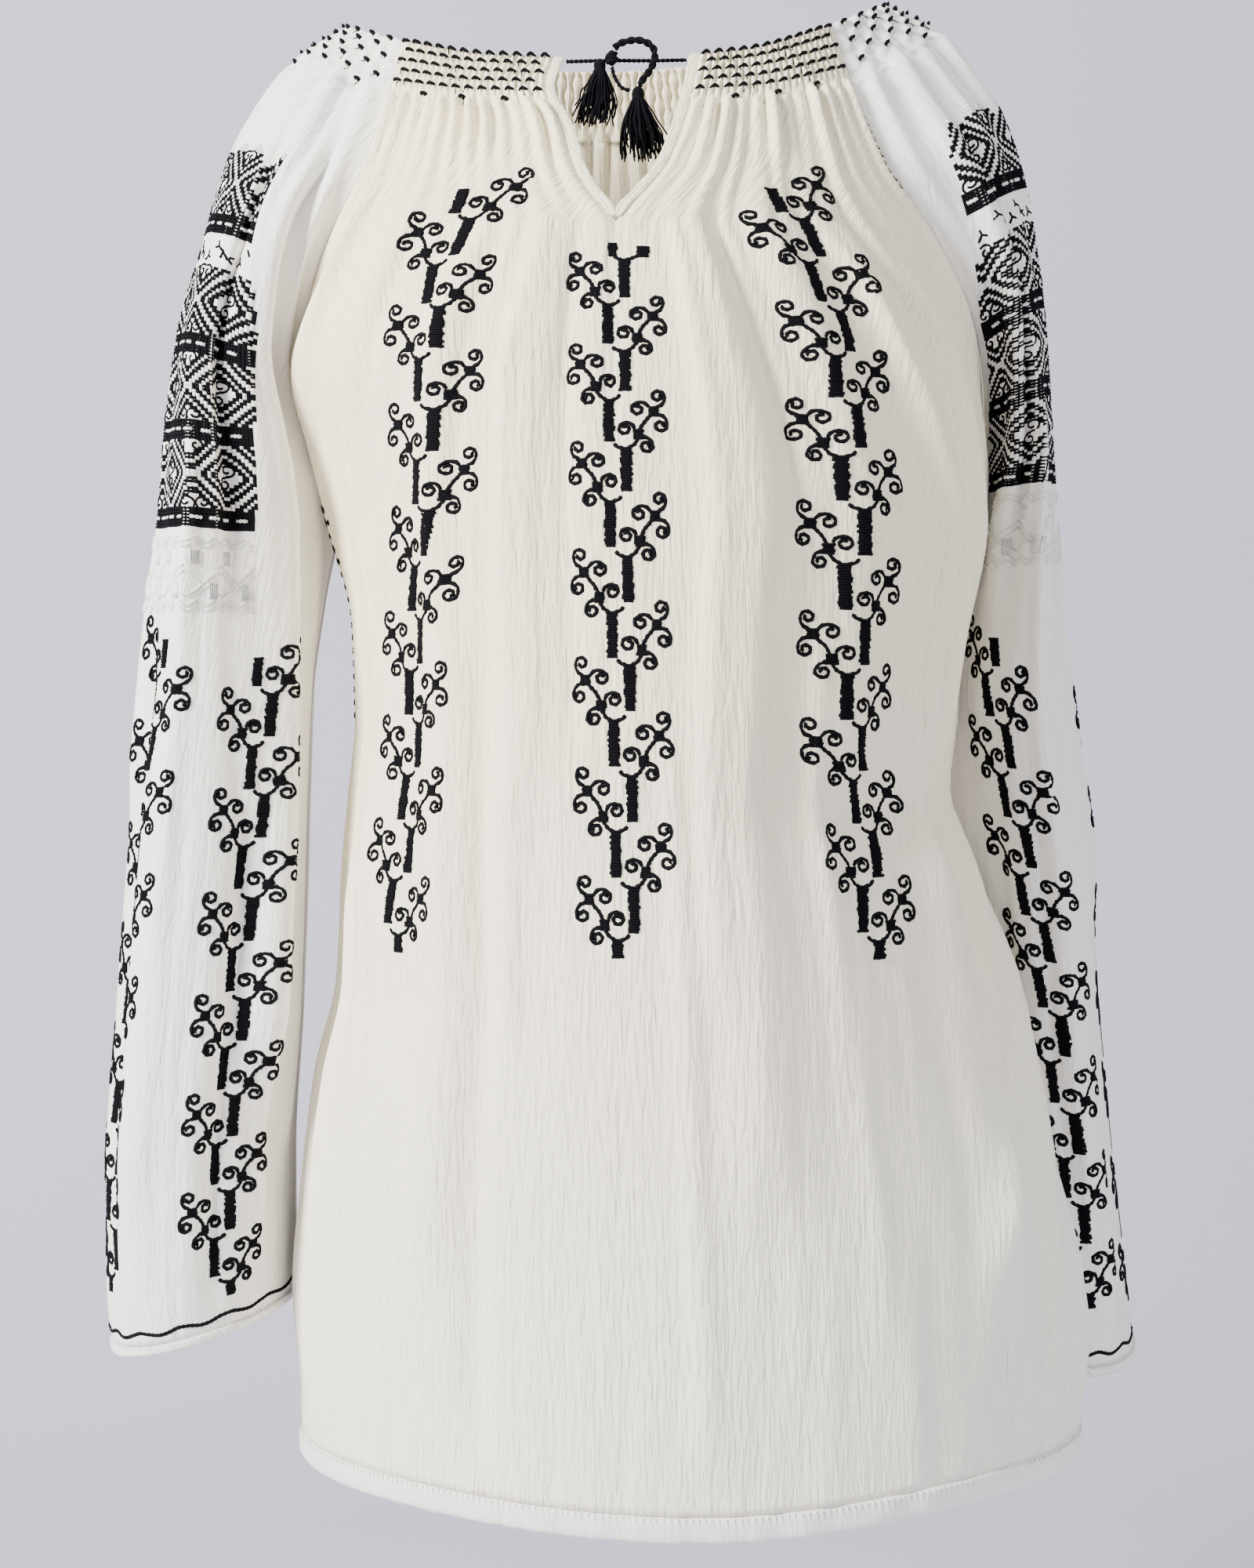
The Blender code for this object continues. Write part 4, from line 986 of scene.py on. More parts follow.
# Cells left plain at the crown's upper edge, column by column
CROWN_EDGE = (3, 3, 2, 1, 0, 0, 1, 2, 4, 5, 4, 2, 1, 0, 1, 2, 3, 5, 6, 5, 4, 4)
STRIPE = 3              # cells from one pale stripe of a diamond to the next
SPRIGS = (
    ((0.0, 0.0), (-3.6, 2.2), (-6.0, 1.2)),
    ((-3.6, 2.2), (-5.0, 4.8)),
    ((0.0, 0.0), (2.8, -2.6), (5.2, -5.0)),
    ((2.8, -2.6), (5.4, -2.0)),
    ((0.0, 0.0), (-0.6, -3.6)),
    ((8.0, -5.6), (10.2, -3.0), (12.6, -4.4)),
    ((10.2, -3.0), (9.6, -0.4)),
)
EYE_CURLS = (
    Curl((0.3, 0.3), (-0.6, 3.4), -1.2),
    Curl((0.3, -0.3), (1.0, -3.4), -1.2),
)


class Chart:
    """A grid of cells on a sleeve: across from a line of shares, and down from a drop."""

    def __init__(self, panel, line, top):
        self.panel = panel
        self.line = line
        points = panel.sample(panel.drops, np.full(len(panel.drops), 0.5))[0]
        walked = np.concatenate(([0.0], np.cumsum(np.linalg.norm(np.diff(points, axis=0), axis=1))))
        self.walked = walked - np.interp(top, panel.drops, walked)

    def drop(self, down):
        """The drop that lies a distance down the cloth from the chart's top."""
        return np.interp(down, self.walked, self.panel.drops)

    def share(self, across, drop):
        """The share that lies a distance across from the chart's line."""
        return self.panel.shares_at(drop, self.panel.width(drop, self.line(drop)) + across)

    def place(self, across, down, lift):
        """Points and normals at distances across and down."""
        drop = self.drop(down)
        return self.panel.sample(drop, self.share(across, drop), lift)


def diamond_ring(i, j, rows):
    """The number of steps from each cell to the middle of its diamond."""
    x = np.abs(np.mod(i + DIAMOND_PITCH // 2, DIAMOND_PITCH) - DIAMOND_PITCH // 2 + 0.5)
    y = np.abs(j - rows / 2 + 0.5)
    return x + y


def band_cells(columns):
    """Which cells are black and which are pale: 1, 0, or -1 for plain cloth."""
    parts = []
    for band in BANDS:
        j, i = np.meshgrid(np.arange(band.rows), columns, indexing="ij")
        if band.kind == "border":
            parts.append(np.ones_like(j))
            continue
        if band.kind == "sprigs":
            parts.append(np.full_like(j, -1))
            continue
        offset = band.rows - 20
        steps = diamond_ring(i, j - offset, 20)
        steps = np.where(steps > 10.5, 21 - steps, steps)
        steps = np.where(j < offset, 10, steps)
        cells = np.where(steps % STRIPE == 1, 0, 1)
        cells = np.where(steps <= 4, -1, cells)
        if band.kind == "crown":
            edge = np.array(CROWN_EDGE)[np.mod(i, len(CROWN_EDGE))]
            cells = np.where(j < edge, -1, cells)
        parts.append(cells)
    return np.concatenate(parts)


def add_cells(mesh, chart, cells, columns, chosen, height, keep):
    """Raise each chosen cell as a small closed stitch."""
    rows = cells.shape[0]
    edges_i = (np.arange(len(columns) + 1) + columns[0]) * CELL
    edges_j = np.arange(rows + 1) * CELL
    down, across = np.meshgrid(edges_j, edges_i, indexing="ij")
    low = chart.place(across.ravel(), down.ravel(), OUTWARD + 0.03)[0].reshape(*down.shape, 3)
    down, across = np.meshgrid(edges_j[:-1] + CELL / 2, edges_i[:-1] + CELL / 2, indexing="ij")
    peak = chart.place(across.ravel(), down.ravel(), OUTWARD + height)[0]
    peak = peak.reshape(*down.shape, 3)
    for j, i in zip(*np.nonzero((cells == chosen) & keep)):
        corners = [low[j, i], low[j + 1, i], low[j + 1, i + 1], low[j, i + 1]]
        middle = sum(corners) / 4
        grown = [middle + (corner - middle) * 1.14 for corner in corners]
        mesh.add(np.array(grown + [peak[j, i]]),
                 [(0, 1, 4), (1, 2, 4), (2, 3, 4), (3, 0, 4), (3, 2, 1, 0)],
                 np.tile([across[j, i], down[j, i]], (5, 1)))


def shoulder_bands(black, pale, chart, limits, reach):
    """The black bands round a sleeve's outer side, between two lines of shares."""
    columns = np.arange(*reach)
    cells = band_cells(columns)
    down = (np.arange(cells.shape[0]) + 0.5) * CELL
    drops = chart.drop(down)
    across = (columns + 0.5) * CELL

    def within(drop, share):
        low, high = (np.interp(drop, *zip(*limit)) for limit in limits)
        return (share > low) & (share < high)

    keep = np.array([within(drop, chart.share(across, np.full(len(across), drop)))
                     for drop in drops])
    add_cells(black, chart, cells, columns, 1, 0.55, keep)
    add_cells(pale, chart, cells, columns, 0, 0.5, keep)

    def draw(mesh, points, width, lift):
        points = np.asarray(points, dtype=float)
        drop = chart.drop(points[:, 1])
        if np.all(within(drop, chart.share(points[:, 0], drop))):
            placed, normals = chart.place(points[:, 0], points[:, 1], OUTWARD + lift)
            add_thread(mesh, placed, normals, width)

    first = 0
    for band in BANDS:
        middle = (first + band.rows / 2) * CELL
        if band.kind == "border":
            for x in np.arange(columns[0] * CELL, columns[-1] * CELL, 8.2):
                draw(pale, polyline([(x, middle), (x + 4.6, middle)], 1.5), 2.2, 0.35)
        if band.kind == "sprigs":
            for x in np.arange(columns[0] * CELL, columns[-1] * CELL, 21.0):
                for sprig in SPRIGS:
                    points = polyline(sprig, 1.3) * np.array([1.0, -1.0]) + np.array([x, middle])
                    draw(black, points, 1.9, 0.0)
        if band.kind in ("diamonds", "crown"):
            middle = (first + band.rows - 10) * CELL
            pitch = DIAMOND_PITCH * CELL
            for turn in range(reach[0] // DIAMOND_PITCH, reach[1] // DIAMOND_PITCH + 2):
                for one in EYE_CURLS:
                    eye = curl(one.start, one.centre, one.turns, 1.0)
                    draw(black, eye + np.array([turn * pitch, middle]), 1.5, 0.1)
                for level in (-10, 10):
                    for side in (-1, 1):
                        corner = np.array([(turn + 0.5) * pitch, middle + level * CELL])
                        spot = curl((side * 0.8, 0.0), (side * 3.2, -level / 10 * 2.6), side * 1.1, 1.0)
                        draw(black, spot + corner, 1.5, 0.1)
        first += band.rows


# The pale band below the black ones, white on white
PALE_BAND = 40.0        # its height
PALE_PITCH = 17.0       # from one repeat to the next


def pale_band(mesh, chart, top, low, high):
    """Zigzags along both edges, upright satin blocks and a lattice between them."""
    drop = np.array([chart.drop(top)])
    middle = chart.panel.width(drop, chart.line(drop))[0]
    reach_low, reach_high = (chart.panel.width(drop, np.array([share]))[0] - middle
                             for share in (low, high))

    def draw(points, width, lift=0.0):
        points = np.asarray(points, dtype=float)
        if points[:, 0].min() < reach_low or points[:, 0].max() > reach_high:
            return
        placed, normals = chart.place(points[:, 0], points[:, 1], OUTWARD + lift)
        add_thread(mesh, placed, normals, width, 0.9)

    for x in np.arange(reach_low, reach_high, PALE_PITCH):
        half = PALE_PITCH / 2
        for level in (2.0, PALE_BAND - 6.0):
            for step in (0.0, 2.6):
                zig = [(x, top + level + step + 4), (x + half / 2, top + level + step),
                       (x + half, top + level + step + 4), (x + half * 1.5, top + level + step),
                       (x + PALE_PITCH, top + level + step + 4)]
                draw(polyline(zig, 1.6), 1.5)
        for part in range(5):
            for out, first, last in ((2.0, 9.5, 16.5), (half + 2.0, 26.0, 34.0)):
                upright = [(x + out + part * 0.9, top + down)
                           for down in (first, (first + last) / 2, last)]
                draw(upright, 1.1, 0.1)
        for side in (-1, 1):
            for step in (0.0, half):
                lattice = [(x + half + side * half, top + 17.0 + step * 0.4),
                           (x + half, top + 25.0 + step * 0.4), (x + half - side * half, top + 33.0)]
                draw(polyline(lattice, 1.8), 1.0)


def smocking(mesh, panel, tubes, parts):
    """A black half moon over each pair of tubes that the gathers are stitched in."""
    for level in range(6):
        drop = SMOCK_ROW * level + (1.2 if level == 0 else 0.0)
        for low, high in parts:
            first = int(math.ceil(low * tubes)) + 1
            last = int(math.floor(high * tubes)) - 1
            for number in range(first, last + 1):
                if (number + level) % 2 == 0:
                    continue
                if level == 5 and (number // 2) % 3:
                    continue
                add_half_moon(mesh, panel, tubes, drop, number / tubes, (number * 7 + level * 3) % 5)


def add_half_moon(mesh, panel, tubes, drop, share, variant):
    """One bowed stitch across two tubes, with the tail of its thread."""
    half = min(1.75, 0.3 * pair_width(panel, tubes, drop, share))
    base = panel.width(np.array([drop]), np.array([share]))[0]
    across = np.linspace(-1, 1, 7)
    bow = 1 - across ** 2
    drops = np.full(7, drop + 0.6) - 1.1 * bow
    shares = panel.shares_at(np.maximum(drops, 0.0), base + across * half)
    points, normals = panel.sample(np.maximum(drops, 0.0), shares, OUTWARD)
    middle_normal = unit(normals.mean(axis=0))
    ends = points[0] + (points[-1] - points[0]) * ((across + 1) / 2)[:, None]
    up = np.array([0.0, 0.0, 1.0])
    bridge = ends + middle_normal * (0.5 + 0.5 * bow[:, None]) + up * 1.1 * bow[:, None]
    lower = np.einsum("ij,j->i", points - bridge, middle_normal)
    bridge = bridge + middle_normal * np.maximum(lower, 0.0)[:, None]
    add_thread(mesh, bridge, np.tile(middle_normal, (7, 1)), 1.9, 0.9, 0.6)
    if variant < 2:
        tail = 3.0 + variant
        side = 1 if variant else -1
        tail_drops = np.linspace(drop + 0.5, drop + tail, 3)
        tail_shares = panel.shares_at(tail_drops, base + side * half * 0.8 + 0 * tail_drops)
        points, normals = panel.sample(tail_drops, tail_shares, OUTWARD + 0.1)
        add_thread(mesh, points, normals, 0.6, 0.35)


def pair_width(panel, tubes, drop, share):
    """The width of two tubes of the gathers at a place."""
    span = 0.012
    ends = panel.width(np.array([drop, drop]), np.array([share - span, share + span]))
    return (ends[1] - ends[0]) / (span * tubes)


def seam_stitches(mesh, panel, share, top, bottom, step, reach, width, slant):
    """Short stitches beside a seam."""
    for drop in np.arange(top, bottom, step):
        drops = np.array([drop - slant / 2, drop, drop + slant / 2])
        across = panel.width(drops, np.full(3, share)) + np.array([-0.5, 0.0, 0.5]) * reach
        points, normals = panel.sample(drops, panel.shares_at(drops, across), OUTWARD)
        add_thread(mesh, points, normals, width, 0.45)


def running_line(mesh, panel, drops, shares, width, height=0.45, gap=0):
    """One thread along a line, or a running stitch where gap is more than 0."""
    points, normals = panel.sample(drops, shares, OUTWARD)
    if not gap:
        add_thread(mesh, points, normals, width, height, bead=0.12)
        return
    for first in range(0, len(points) - gap, 2 * gap):
        add_thread(mesh, points[first:first + gap + 1], normals[first:first + gap + 1], width, height)


# Cords and tassels, along the solids' own routes
DRAWSTRING_ROUTE = ((-23.6, -85.2, -38.0), (-12, -87.3, -38.2), (-2, -88.1, -38.2),
                    (8, -87.8, -38.2), (20, -86.7, -37.9), (33.4, -85.0, -37.2))
BOW_ROUTE = ((-0.6, -92.4, -33.2), (1.6, -92.6, -31.4), (5.2, -92.6, -30.2), (9.7, -92.6, -29.6),
             (14.2, -92.6, -30.6), (17.6, -92.6, -33.4), (18.4, -92.6, -37.4),
             (17.4, -92.6, -41.4), (15.4, -92.8, -45.0), (12.8, -93.0, -48.4), (11.0, -93.2, -51.2))
STRAND_ROUTE = ((-1.9, -92.1, -42.4), (-0.8, -92.6, -46.4), (1.0, -93.0, -50.2),
                (3.6, -93.2, -52.8), (6.4, -93.3, -53.6))
KNOT_PLACE = (-2.0, -92.0, -38.0)
DRAWSTRING_WIDTH = 2.0
BOW_WIDTH = 3.6
STRAND_WIDTH = 2.0
Tassel = namedtuple("Tassel", "x y z head_radius head_height strands length spread lean_x")
TASSEL_LEFT = Tassel(-7.7, -92.4, -41.9, 3.0, 7.0, 100, 27.0, 9.0, -3.0)
TASSEL_RIGHT = Tassel(10.4, -93.4, -55.8, 3.2, 8.0, 100, 30.0, 11.0, 3.0)


def smooth_route(points, count):
    """Even points on a smooth curve through the route's own points."""
    points = np.array(points, dtype=float)
    padded = np.vstack([2 * points[0] - points[1], points, 2 * points[-1] - points[-2]])
    line = []
    for index in range(1, len(padded) - 2):
        p0, p1, p2, p3 = padded[index - 1:index + 3]
        for t in np.linspace(0, 1, 12, endpoint=False):
            line.append(0.5 * (2 * p1 + (p2 - p0) * t + (2 * p0 - 5 * p1 + 4 * p2 - p3) * t ** 2
                               + (3 * p1 - p0 - 3 * p2 + p3) * t ** 3))
    line.append(points[-1])
    line = np.array(line)
    walked = np.concatenate(([0.0], np.cumsum(np.linalg.norm(np.diff(line, axis=0), axis=1))))
    places = np.linspace(0, walked[-1], count)
    return np.stack([np.interp(places, walked, line[:, axis]) for axis in range(3)], axis=-1)


def route_length(points):
    """The length of a line of points."""
    return float(np.linalg.norm(np.diff(points, axis=0), axis=1).sum())


def frames(points):
    """Two directions across a line at each point, which turn as little as they can."""
    along = unit(np.gradient(points, axis=0))
    side = np.cross(along[0], (0.0, 1.0, 0.0))
    if np.linalg.norm(side) < 0.2:
        side = np.cross(along[0], (1.0, 0.0, 0.0))
    sides = []
    for direction in along:
        side = side - direction * np.dot(side, direction)
        side = side / np.linalg.norm(side)
        sides.append(side)
    sides = np.array(sides)
    return sides, np.cross(along, sides)


def add_tube(mesh, points, radius, sides=8):
    """A closed round tube along points. radius is one value, or one for each point."""
    right, up = frames(points)
    radius = np.broadcast_to(np.asarray(radius, dtype=float), (len(points),))
    turn = np.arange(sides) * 2 * math.pi / sides
    ring = (np.cos(turn)[None, :, None] * right[:, None, :]
            + np.sin(turn)[None, :, None] * up[:, None, :])
    corners = points[:, None, :] + ring * radius[:, None, None]
    faces = []
    for k in range(len(points) - 1):
        for corner in range(sides):
            after = (corner + 1) % sides
            faces.append((k * sides + corner, k * sides + after,
                          (k + 1) * sides + after, (k + 1) * sides + corner))
    last = (len(points) - 1) * sides
    faces.append(tuple(range(sides))[::-1])
    faces.append(tuple(range(last, last + sides)))
    mesh.add(corners.reshape(-1, 3), faces)


def twisted_cord(name, route, width, material):
    """A cord of two plies laid round each other."""
    length = route_length(smooth_route(route, 60))
    count = int(length / 0.5)
    line = smooth_route(route, count)
    right, up = frames(line)
    places = np.linspace(0, length, count)
    mesh = Mesh()
    for ply in (0.0, math.pi):
        turn = 2 * math.pi * places / (2.3 * width) + ply
        reach = 0.23 * width
        path = line + (np.cos(turn)[:, None] * right + np.sin(turn)[:, None] * up) * reach
        add_tube(mesh, path, 0.29 * width, 8)
    made = mesh.piece(name, material, "black_thread")
    return made, line, length


def knot(material):
    """The tied knot: a small ball with turns of cord round it."""
    mesh = Mesh()
    centre = np.array(KNOT_PLACE)
    levels = np.linspace(-1, 1, 13)
    path = centre + np.stack([0 * levels, 0 * levels, 3.7 * levels], axis=-1)
    add_tube(mesh, path, 2.5 * np.sqrt(np.maximum(1 - levels ** 2, 0.05)), 14)
    for height, tilt, reach in ((1.7, 0.5, 2.1), (0.0, -0.35, 2.5), (-1.7, 0.45, 2.1)):
        turn = np.linspace(0, 2 * math.pi * 0.985, 30)
        ring = np.stack([reach * np.cos(turn), 0.88 * reach * np.sin(turn),
                         height + tilt * np.cos(turn)], axis=-1)
        add_tube(mesh, centre + ring, 0.85, 8)
    return mesh.piece("tied_knot", material, "black_thread")


def tassel_threads(name, tassel, seed, material):
    """A bound head and a skirt of fine uneven threads."""
    random = np.random.default_rng(seed)
    mesh = Mesh()
    centre = np.array([tassel.x, tassel.y, tassel.z])
    levels = np.linspace(-1, 1, 15)
    neck = 1 - 0.22 * np.exp(-((levels - 0.05) / 0.28) ** 2)
    path = centre + np.stack([0 * levels, 0 * levels, -levels * tassel.head_height / 2], axis=-1)
    radius = tassel.head_radius * neck[::-1] * np.sqrt(np.maximum(1 - levels ** 2, 0.04))
    add_tube(mesh, path, radius, 18)
    for step in range(3):
        turn = np.linspace(0, 2 * math.pi * 0.985, 26)
        reach = tassel.head_radius * 0.82
        ring = np.stack([reach * np.cos(turn), reach * np.sin(turn),
                         0.9 - 0.75 * step + 0.1 * np.sin(turn)], axis=-1)
        add_tube(mesh, centre + ring, 0.45, 6)
    golden = math.radians(137.5)
    for index in range(tassel.strands):
        ring = math.sqrt((index + 0.5) / tassel.strands)
        turn = golden * index
        root = tassel.head_radius * 0.78 * ring
        length = tassel.length * random.uniform(0.62, 1.0)
        out = tassel.spread * ring * random.uniform(0.55, 1.0)
        part = np.linspace(0, 1, 12)
        bow = np.sin(math.pi * part / 2)
        wave = random.uniform(0.3, 0.9) * np.sin(part * random.uniform(7, 14) + index) * part
        x = np.cos(turn) * (root + out * bow) + tassel.lean_x * part ** 2 + wave
        y = np.sin(turn) * (root + out * 0.35 * bow) + 0.5 * wave
        z = -tassel.head_height * 0.2 - length * part
        add_tube(mesh, centre + np.stack([x, y, z], axis=-1), 0.42, 5)
    return mesh.piece(name, material, "black_thread")


# The slit's turned hems
def slit_panel(edge):
    inward = 1 if edge == "left" else -1
    drops = levels((SLIT_HEM_END, 1.6))
    share = np.linspace(0, 1, 9)
    rows = []
    for drop in drops:
        cloth_end = notch(drop, edge) - inward * 0.4
        free_edge = read(SLIT, edge, drop)
        start, end = (cloth_end, free_edge) if edge == "left" else (free_edge, cloth_end)
        angles = np.array([front_angle(drop, start + (end - start) * one) for one in share])
        rows.append(body_point(drop, angles))
    panel = Panel(np.array(rows), drops, share)
    wave = 0.25 * np.sin(drops / 2.1)[:, None] + 0.2 * np.sin(drops / 5.3 + 1)[:, None]
    roll = 0.35 * np.sin(math.pi * share)[None, :]
    panel.raise_by(roll + wave * np.sin(math.pi * share)[None, :] + 0.2)
    return panel


def rolled_edge(name, make, first, last, bulge):
    """The grid and the cloth of a hem or a cuff, rolled round the cloth that make gives."""
    panel = make(np.linspace(first, last, 9))
    puff = np.sqrt(np.maximum(1 - np.linspace(-1, 1, 9) ** 2, 0.0))
    return panel, shell(name, [panel], hemmed, "hem_cloth", 0.5 + bulge * puff, 0.5 + 0.7 * puff)


def whip_stitches(mesh, panel, first, last, step, width, height, lean=0.6):
    """Close stitches over a rolled edge, from its cloth to its fold."""
    middle = len(panel.drops) // 2
    low = panel.across[middle, 0]
    high = panel.across[middle, -1]
    random = np.random.default_rng(len(panel.share))
    drops = np.linspace(first, last, 6)
    for across in np.arange(low + 1.0, high - 1.0, step):
        place = across + random.uniform(-0.25, 0.25)
        shares = panel.shares_at(drops, place + np.linspace(-lean, lean, 6))
        points, normals = panel.sample(drops, shares, height)
        add_thread(mesh, points, normals, width, 0.4)


def new_material(name, values):
    """A material, its nodes and its shader with these values."""
    material = bpy.data.materials.new(name)
    material.use_nodes = True
    tree = material.node_tree
    shader = tree.nodes["Principled BSDF"]
    for socket, value in values.items():
        shader.inputs[socket].default_value = value
    return material, tree, shader


def cloth_coords(tree):
    """The cloth coordinates, whole and as two sockets: millimetres across and down."""
    uv = tree.nodes.new("ShaderNodeUVMap")
    uv.uv_map = "cloth"
    apart = tree.nodes.new("ShaderNodeSeparateXYZ")
    tree.links.new(uv.outputs["UV"], apart.inputs[0])
    return uv.outputs["UV"], apart.outputs[0], apart.outputs[1]


def calculate(tree, operation, *values):
    """The result of a math node on sockets and numbers."""
    node = tree.nodes.new("ShaderNodeMath")
    node.operation = operation
    for socket, value in zip(node.inputs, values):
        if hasattr(value, "node"):
            tree.links.new(value, socket)
        else:
            socket.default_value = value
    return node.outputs[0]


def noise(tree, coords, scale, detail, distortion=0.0):
    """Noise over the cloth coordinates, stretched by scale."""
    stretch = tree.nodes.new("ShaderNodeMapping")
    stretch.inputs["Scale"].default_value = (*scale, 1.0)
    tree.links.new(coords, stretch.inputs["Vector"])
    made = tree.nodes.new("ShaderNodeTexNoise")
    made.inputs["Scale"].default_value = 1.0
    made.inputs["Detail"].default_value = detail
    made.inputs["Distortion"].default_value = distortion
    tree.links.new(stretch.outputs[0], made.inputs["Vector"])
    return made.outputs[0]


def add_bump(tree, shader, height, strength, distance):
    """Link a height to the shader's normal."""
    bump = tree.nodes.new("ShaderNodeBump")
    bump.inputs["Strength"].default_value = strength
    bump.inputs["Distance"].default_value = distance
    tree.links.new(height, bump.inputs["Height"])
    tree.links.new(bump.outputs["Normal"], shader.inputs["Normal"])


def cloth_material(name, top_color, low_color, split, crepe=1.0):
    """Cotton crepe: a thread grid, upright crinkle and a tone that cools towards the hem."""
    material, tree, shader = new_material(name, {
        "Roughness": 0.86, "Specular IOR Level": 0.25, "Sheen Weight": 0.25,
        "Sheen Roughness": 0.5})
    coords, across, down = cloth_coords(tree)
    grid = calculate(tree, "MAXIMUM", *(
        calculate(tree, "SINE", calculate(tree, "MULTIPLY", way, THREADS)) for way in (across, down)))
    crinkles = noise(tree, coords, (0.42, 0.055), 3.0, 0.4)
    height = calculate(tree, "ADD", calculate(tree, "MULTIPLY", grid, THREAD_HEIGHT),
                       calculate(tree, "MULTIPLY", crinkles, 1.5 * crepe))
    add_bump(tree, shader, height, 0.9, 0.0013)
    blotches = noise(tree, coords, (0.012, 0.008), 2.0)
    level = calculate(tree, "ADD", down, calculate(tree, "MULTIPLY", blotches, TONE_SWAY))
    tone = tree.nodes.new("ShaderNodeMapRange")
    tone.inputs["From Min"].default_value = split[0] + TONE_SWAY / 2
    tone.inputs["From Max"].default_value = split[1] + TONE_SWAY / 2
    tree.links.new(level, tone.inputs["Value"])
    mix = tree.nodes.new("ShaderNodeMix")
    mix.data_type = "RGBA"
    mix.inputs["A"].default_value = (*top_color, 1.0)
    mix.inputs["B"].default_value = (*low_color, 1.0)
    tree.links.new(tone.outputs[0], mix.inputs["Factor"])
    tree.links.new(mix.outputs["Result"], shader.inputs["Base Color"])
    return material


def thread_material(name, color, roughness, sheen):
    """Cotton thread, with the fine twist of its plies."""
    material, tree, shader = new_material(name, {
        "Base Color": (*color, 1.0), "Roughness": roughness, "Specular IOR Level": 0.08,
        "Sheen Weight": sheen})
    _, across, along = cloth_coords(tree)
    total = calculate(tree, "ADD", across, along)
    twist = calculate(tree, "SINE", calculate(tree, "MULTIPLY", total, PLIES))
    add_bump(tree, shader, twist, 0.4, 0.0003)
    return material


Light = namedtuple("Light", "name place target size power color")
LIGHTS = (
    Light("key", (-1.9, -1.35, 0.75), (0.0, 0.0, -0.3), (0.7, 1.1), 225.0, (1.0, 0.975, 0.92)),
    Light("fill", (1.9, -1.3, 0.1), (0.0, 0.0, -0.4), (1.2, 1.8), 34.0, (0.97, 0.98, 1.0)),
    Light("paper", (0.0, 0.2, 1.9), (0.0, 1.8, -0.4), (3.0, 1.0), 20.0, (1.0, 1.0, 1.0)),
)
CAMERA_PLACE = (0.0052, -1.3, -0.345)
CAMERA_LENS = 58.5
CAMERA_SHIFT = -0.05


def area_light(light):
    """A soft studio panel aimed at a point."""
    data = bpy.data.lights.new(light.name, "AREA")
    data.shape = "RECTANGLE"
    data.size, data.size_y = light.size
    data.energy = light.power
    data.color = light.color
    made = bpy.data.objects.new(light.name, data)
    bpy.context.scene.collection.objects.link(made)
    made.location = light.place
    toward = Vector(light.target) - Vector(light.place)
    made.rotation_euler = toward.to_track_quat("-Z", "Y").to_euler()
    made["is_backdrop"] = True


def studio():
    """A pale sweep of paper behind and below, soft panels and the camera."""
    profile = [(-3.2, 0.0), (0.9, 0.0)]
    for step in range(1, 13):
        turn = math.radians(90 * step / 12)
        profile.append((0.9 + 0.9 * math.sin(turn), 0.9 - 0.9 * math.cos(turn)))
    profile.append((1.8, 3.2))
    points = [(x, y, FLOOR + z) for y, z in profile for x in (-4.0, 4.0)]
    faces = [(2 * k, 2 * k + 1, 2 * k + 3, 2 * k + 2) for k in range(len(profile) - 1)]
    mesh = bpy.data.meshes.new("backdrop")
    mesh.from_pydata(points, [], faces)
    mesh.shade_smooth()
    mesh.materials.append(new_material("backdrop", {
        "Base Color": (*BACKDROP_COLOR, 1.0), "Roughness": 0.95, "Specular IOR Level": 0.0})[0])
    sweep = bpy.data.objects.new("backdrop", mesh)
    bpy.context.scene.collection.objects.link(sweep)
    sweep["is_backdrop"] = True

    world = bpy.data.worlds.new("studio")
    world.use_nodes = True
    world.node_tree.nodes["Background"].inputs["Color"].default_value = (*WORLD_COLOR, 1.0)
    world.node_tree.nodes["Background"].inputs["Strength"].default_value = WORLD_STRENGTH
    bpy.context.scene.world = world
    for light in LIGHTS:
        area_light(light)

    data = bpy.data.cameras.new("camera")
    data.sensor_fit = "VERTICAL"
    data.sensor_height = 36.0
    data.lens = CAMERA_LENS
    data.shift_y = CAMERA_SHIFT
    camera = bpy.data.objects.new("camera", data)
    camera.location = CAMERA_PLACE
    camera.rotation_euler = (math.radians(90), 0.0, 0.0)
    bpy.context.scene.collection.objects.link(camera)
    bpy.context.scene.camera = camera


FLOOR = -1.05
BACKDROP_COLOR = (0.56, 0.54, 0.65)
WORLD_COLOR = (0.93, 0.94, 1.0)
WORLD_STRENGTH = 0.48
CREAM = (0.93, 0.85, 0.64)
COOL = (0.92, 0.88, 0.75)
WHITE = (0.90, 0.88, 0.82)
BLACK = (0.004, 0.004, 0.006)
PALE = (0.86, 0.85, 0.81)
THREADS = 7.4           # turns of the weave's waves over a millimetre, in radians
THREAD_HEIGHT = 0.035   # of the weave, beside the crinkle's 1.5
TONE_SWAY = 160.0       # how far down the change of tone wanders
PLIES = 6.5             # turns of a thread's twist over a millimetre, in radians
# Where the shoulder bands end towards the back and the front: drops and shares
BANDS_LEFT = (((60, 0.22), (262, 0.22)),
              ((60, 0.84), (104, 0.85), (169, 0.881), (219, 0.857), (262, 0.845)))
BANDS_RIGHT = (((60, 0.19), (72, 0.167), (86, 0.131), (104, 0.107), (119, 0.095), (137, 0.055),
                (158, 0.03), (198, 0.03), (247, 0.06), (262, 0.06)),
               ((60, 0.78), (262, 0.78)))
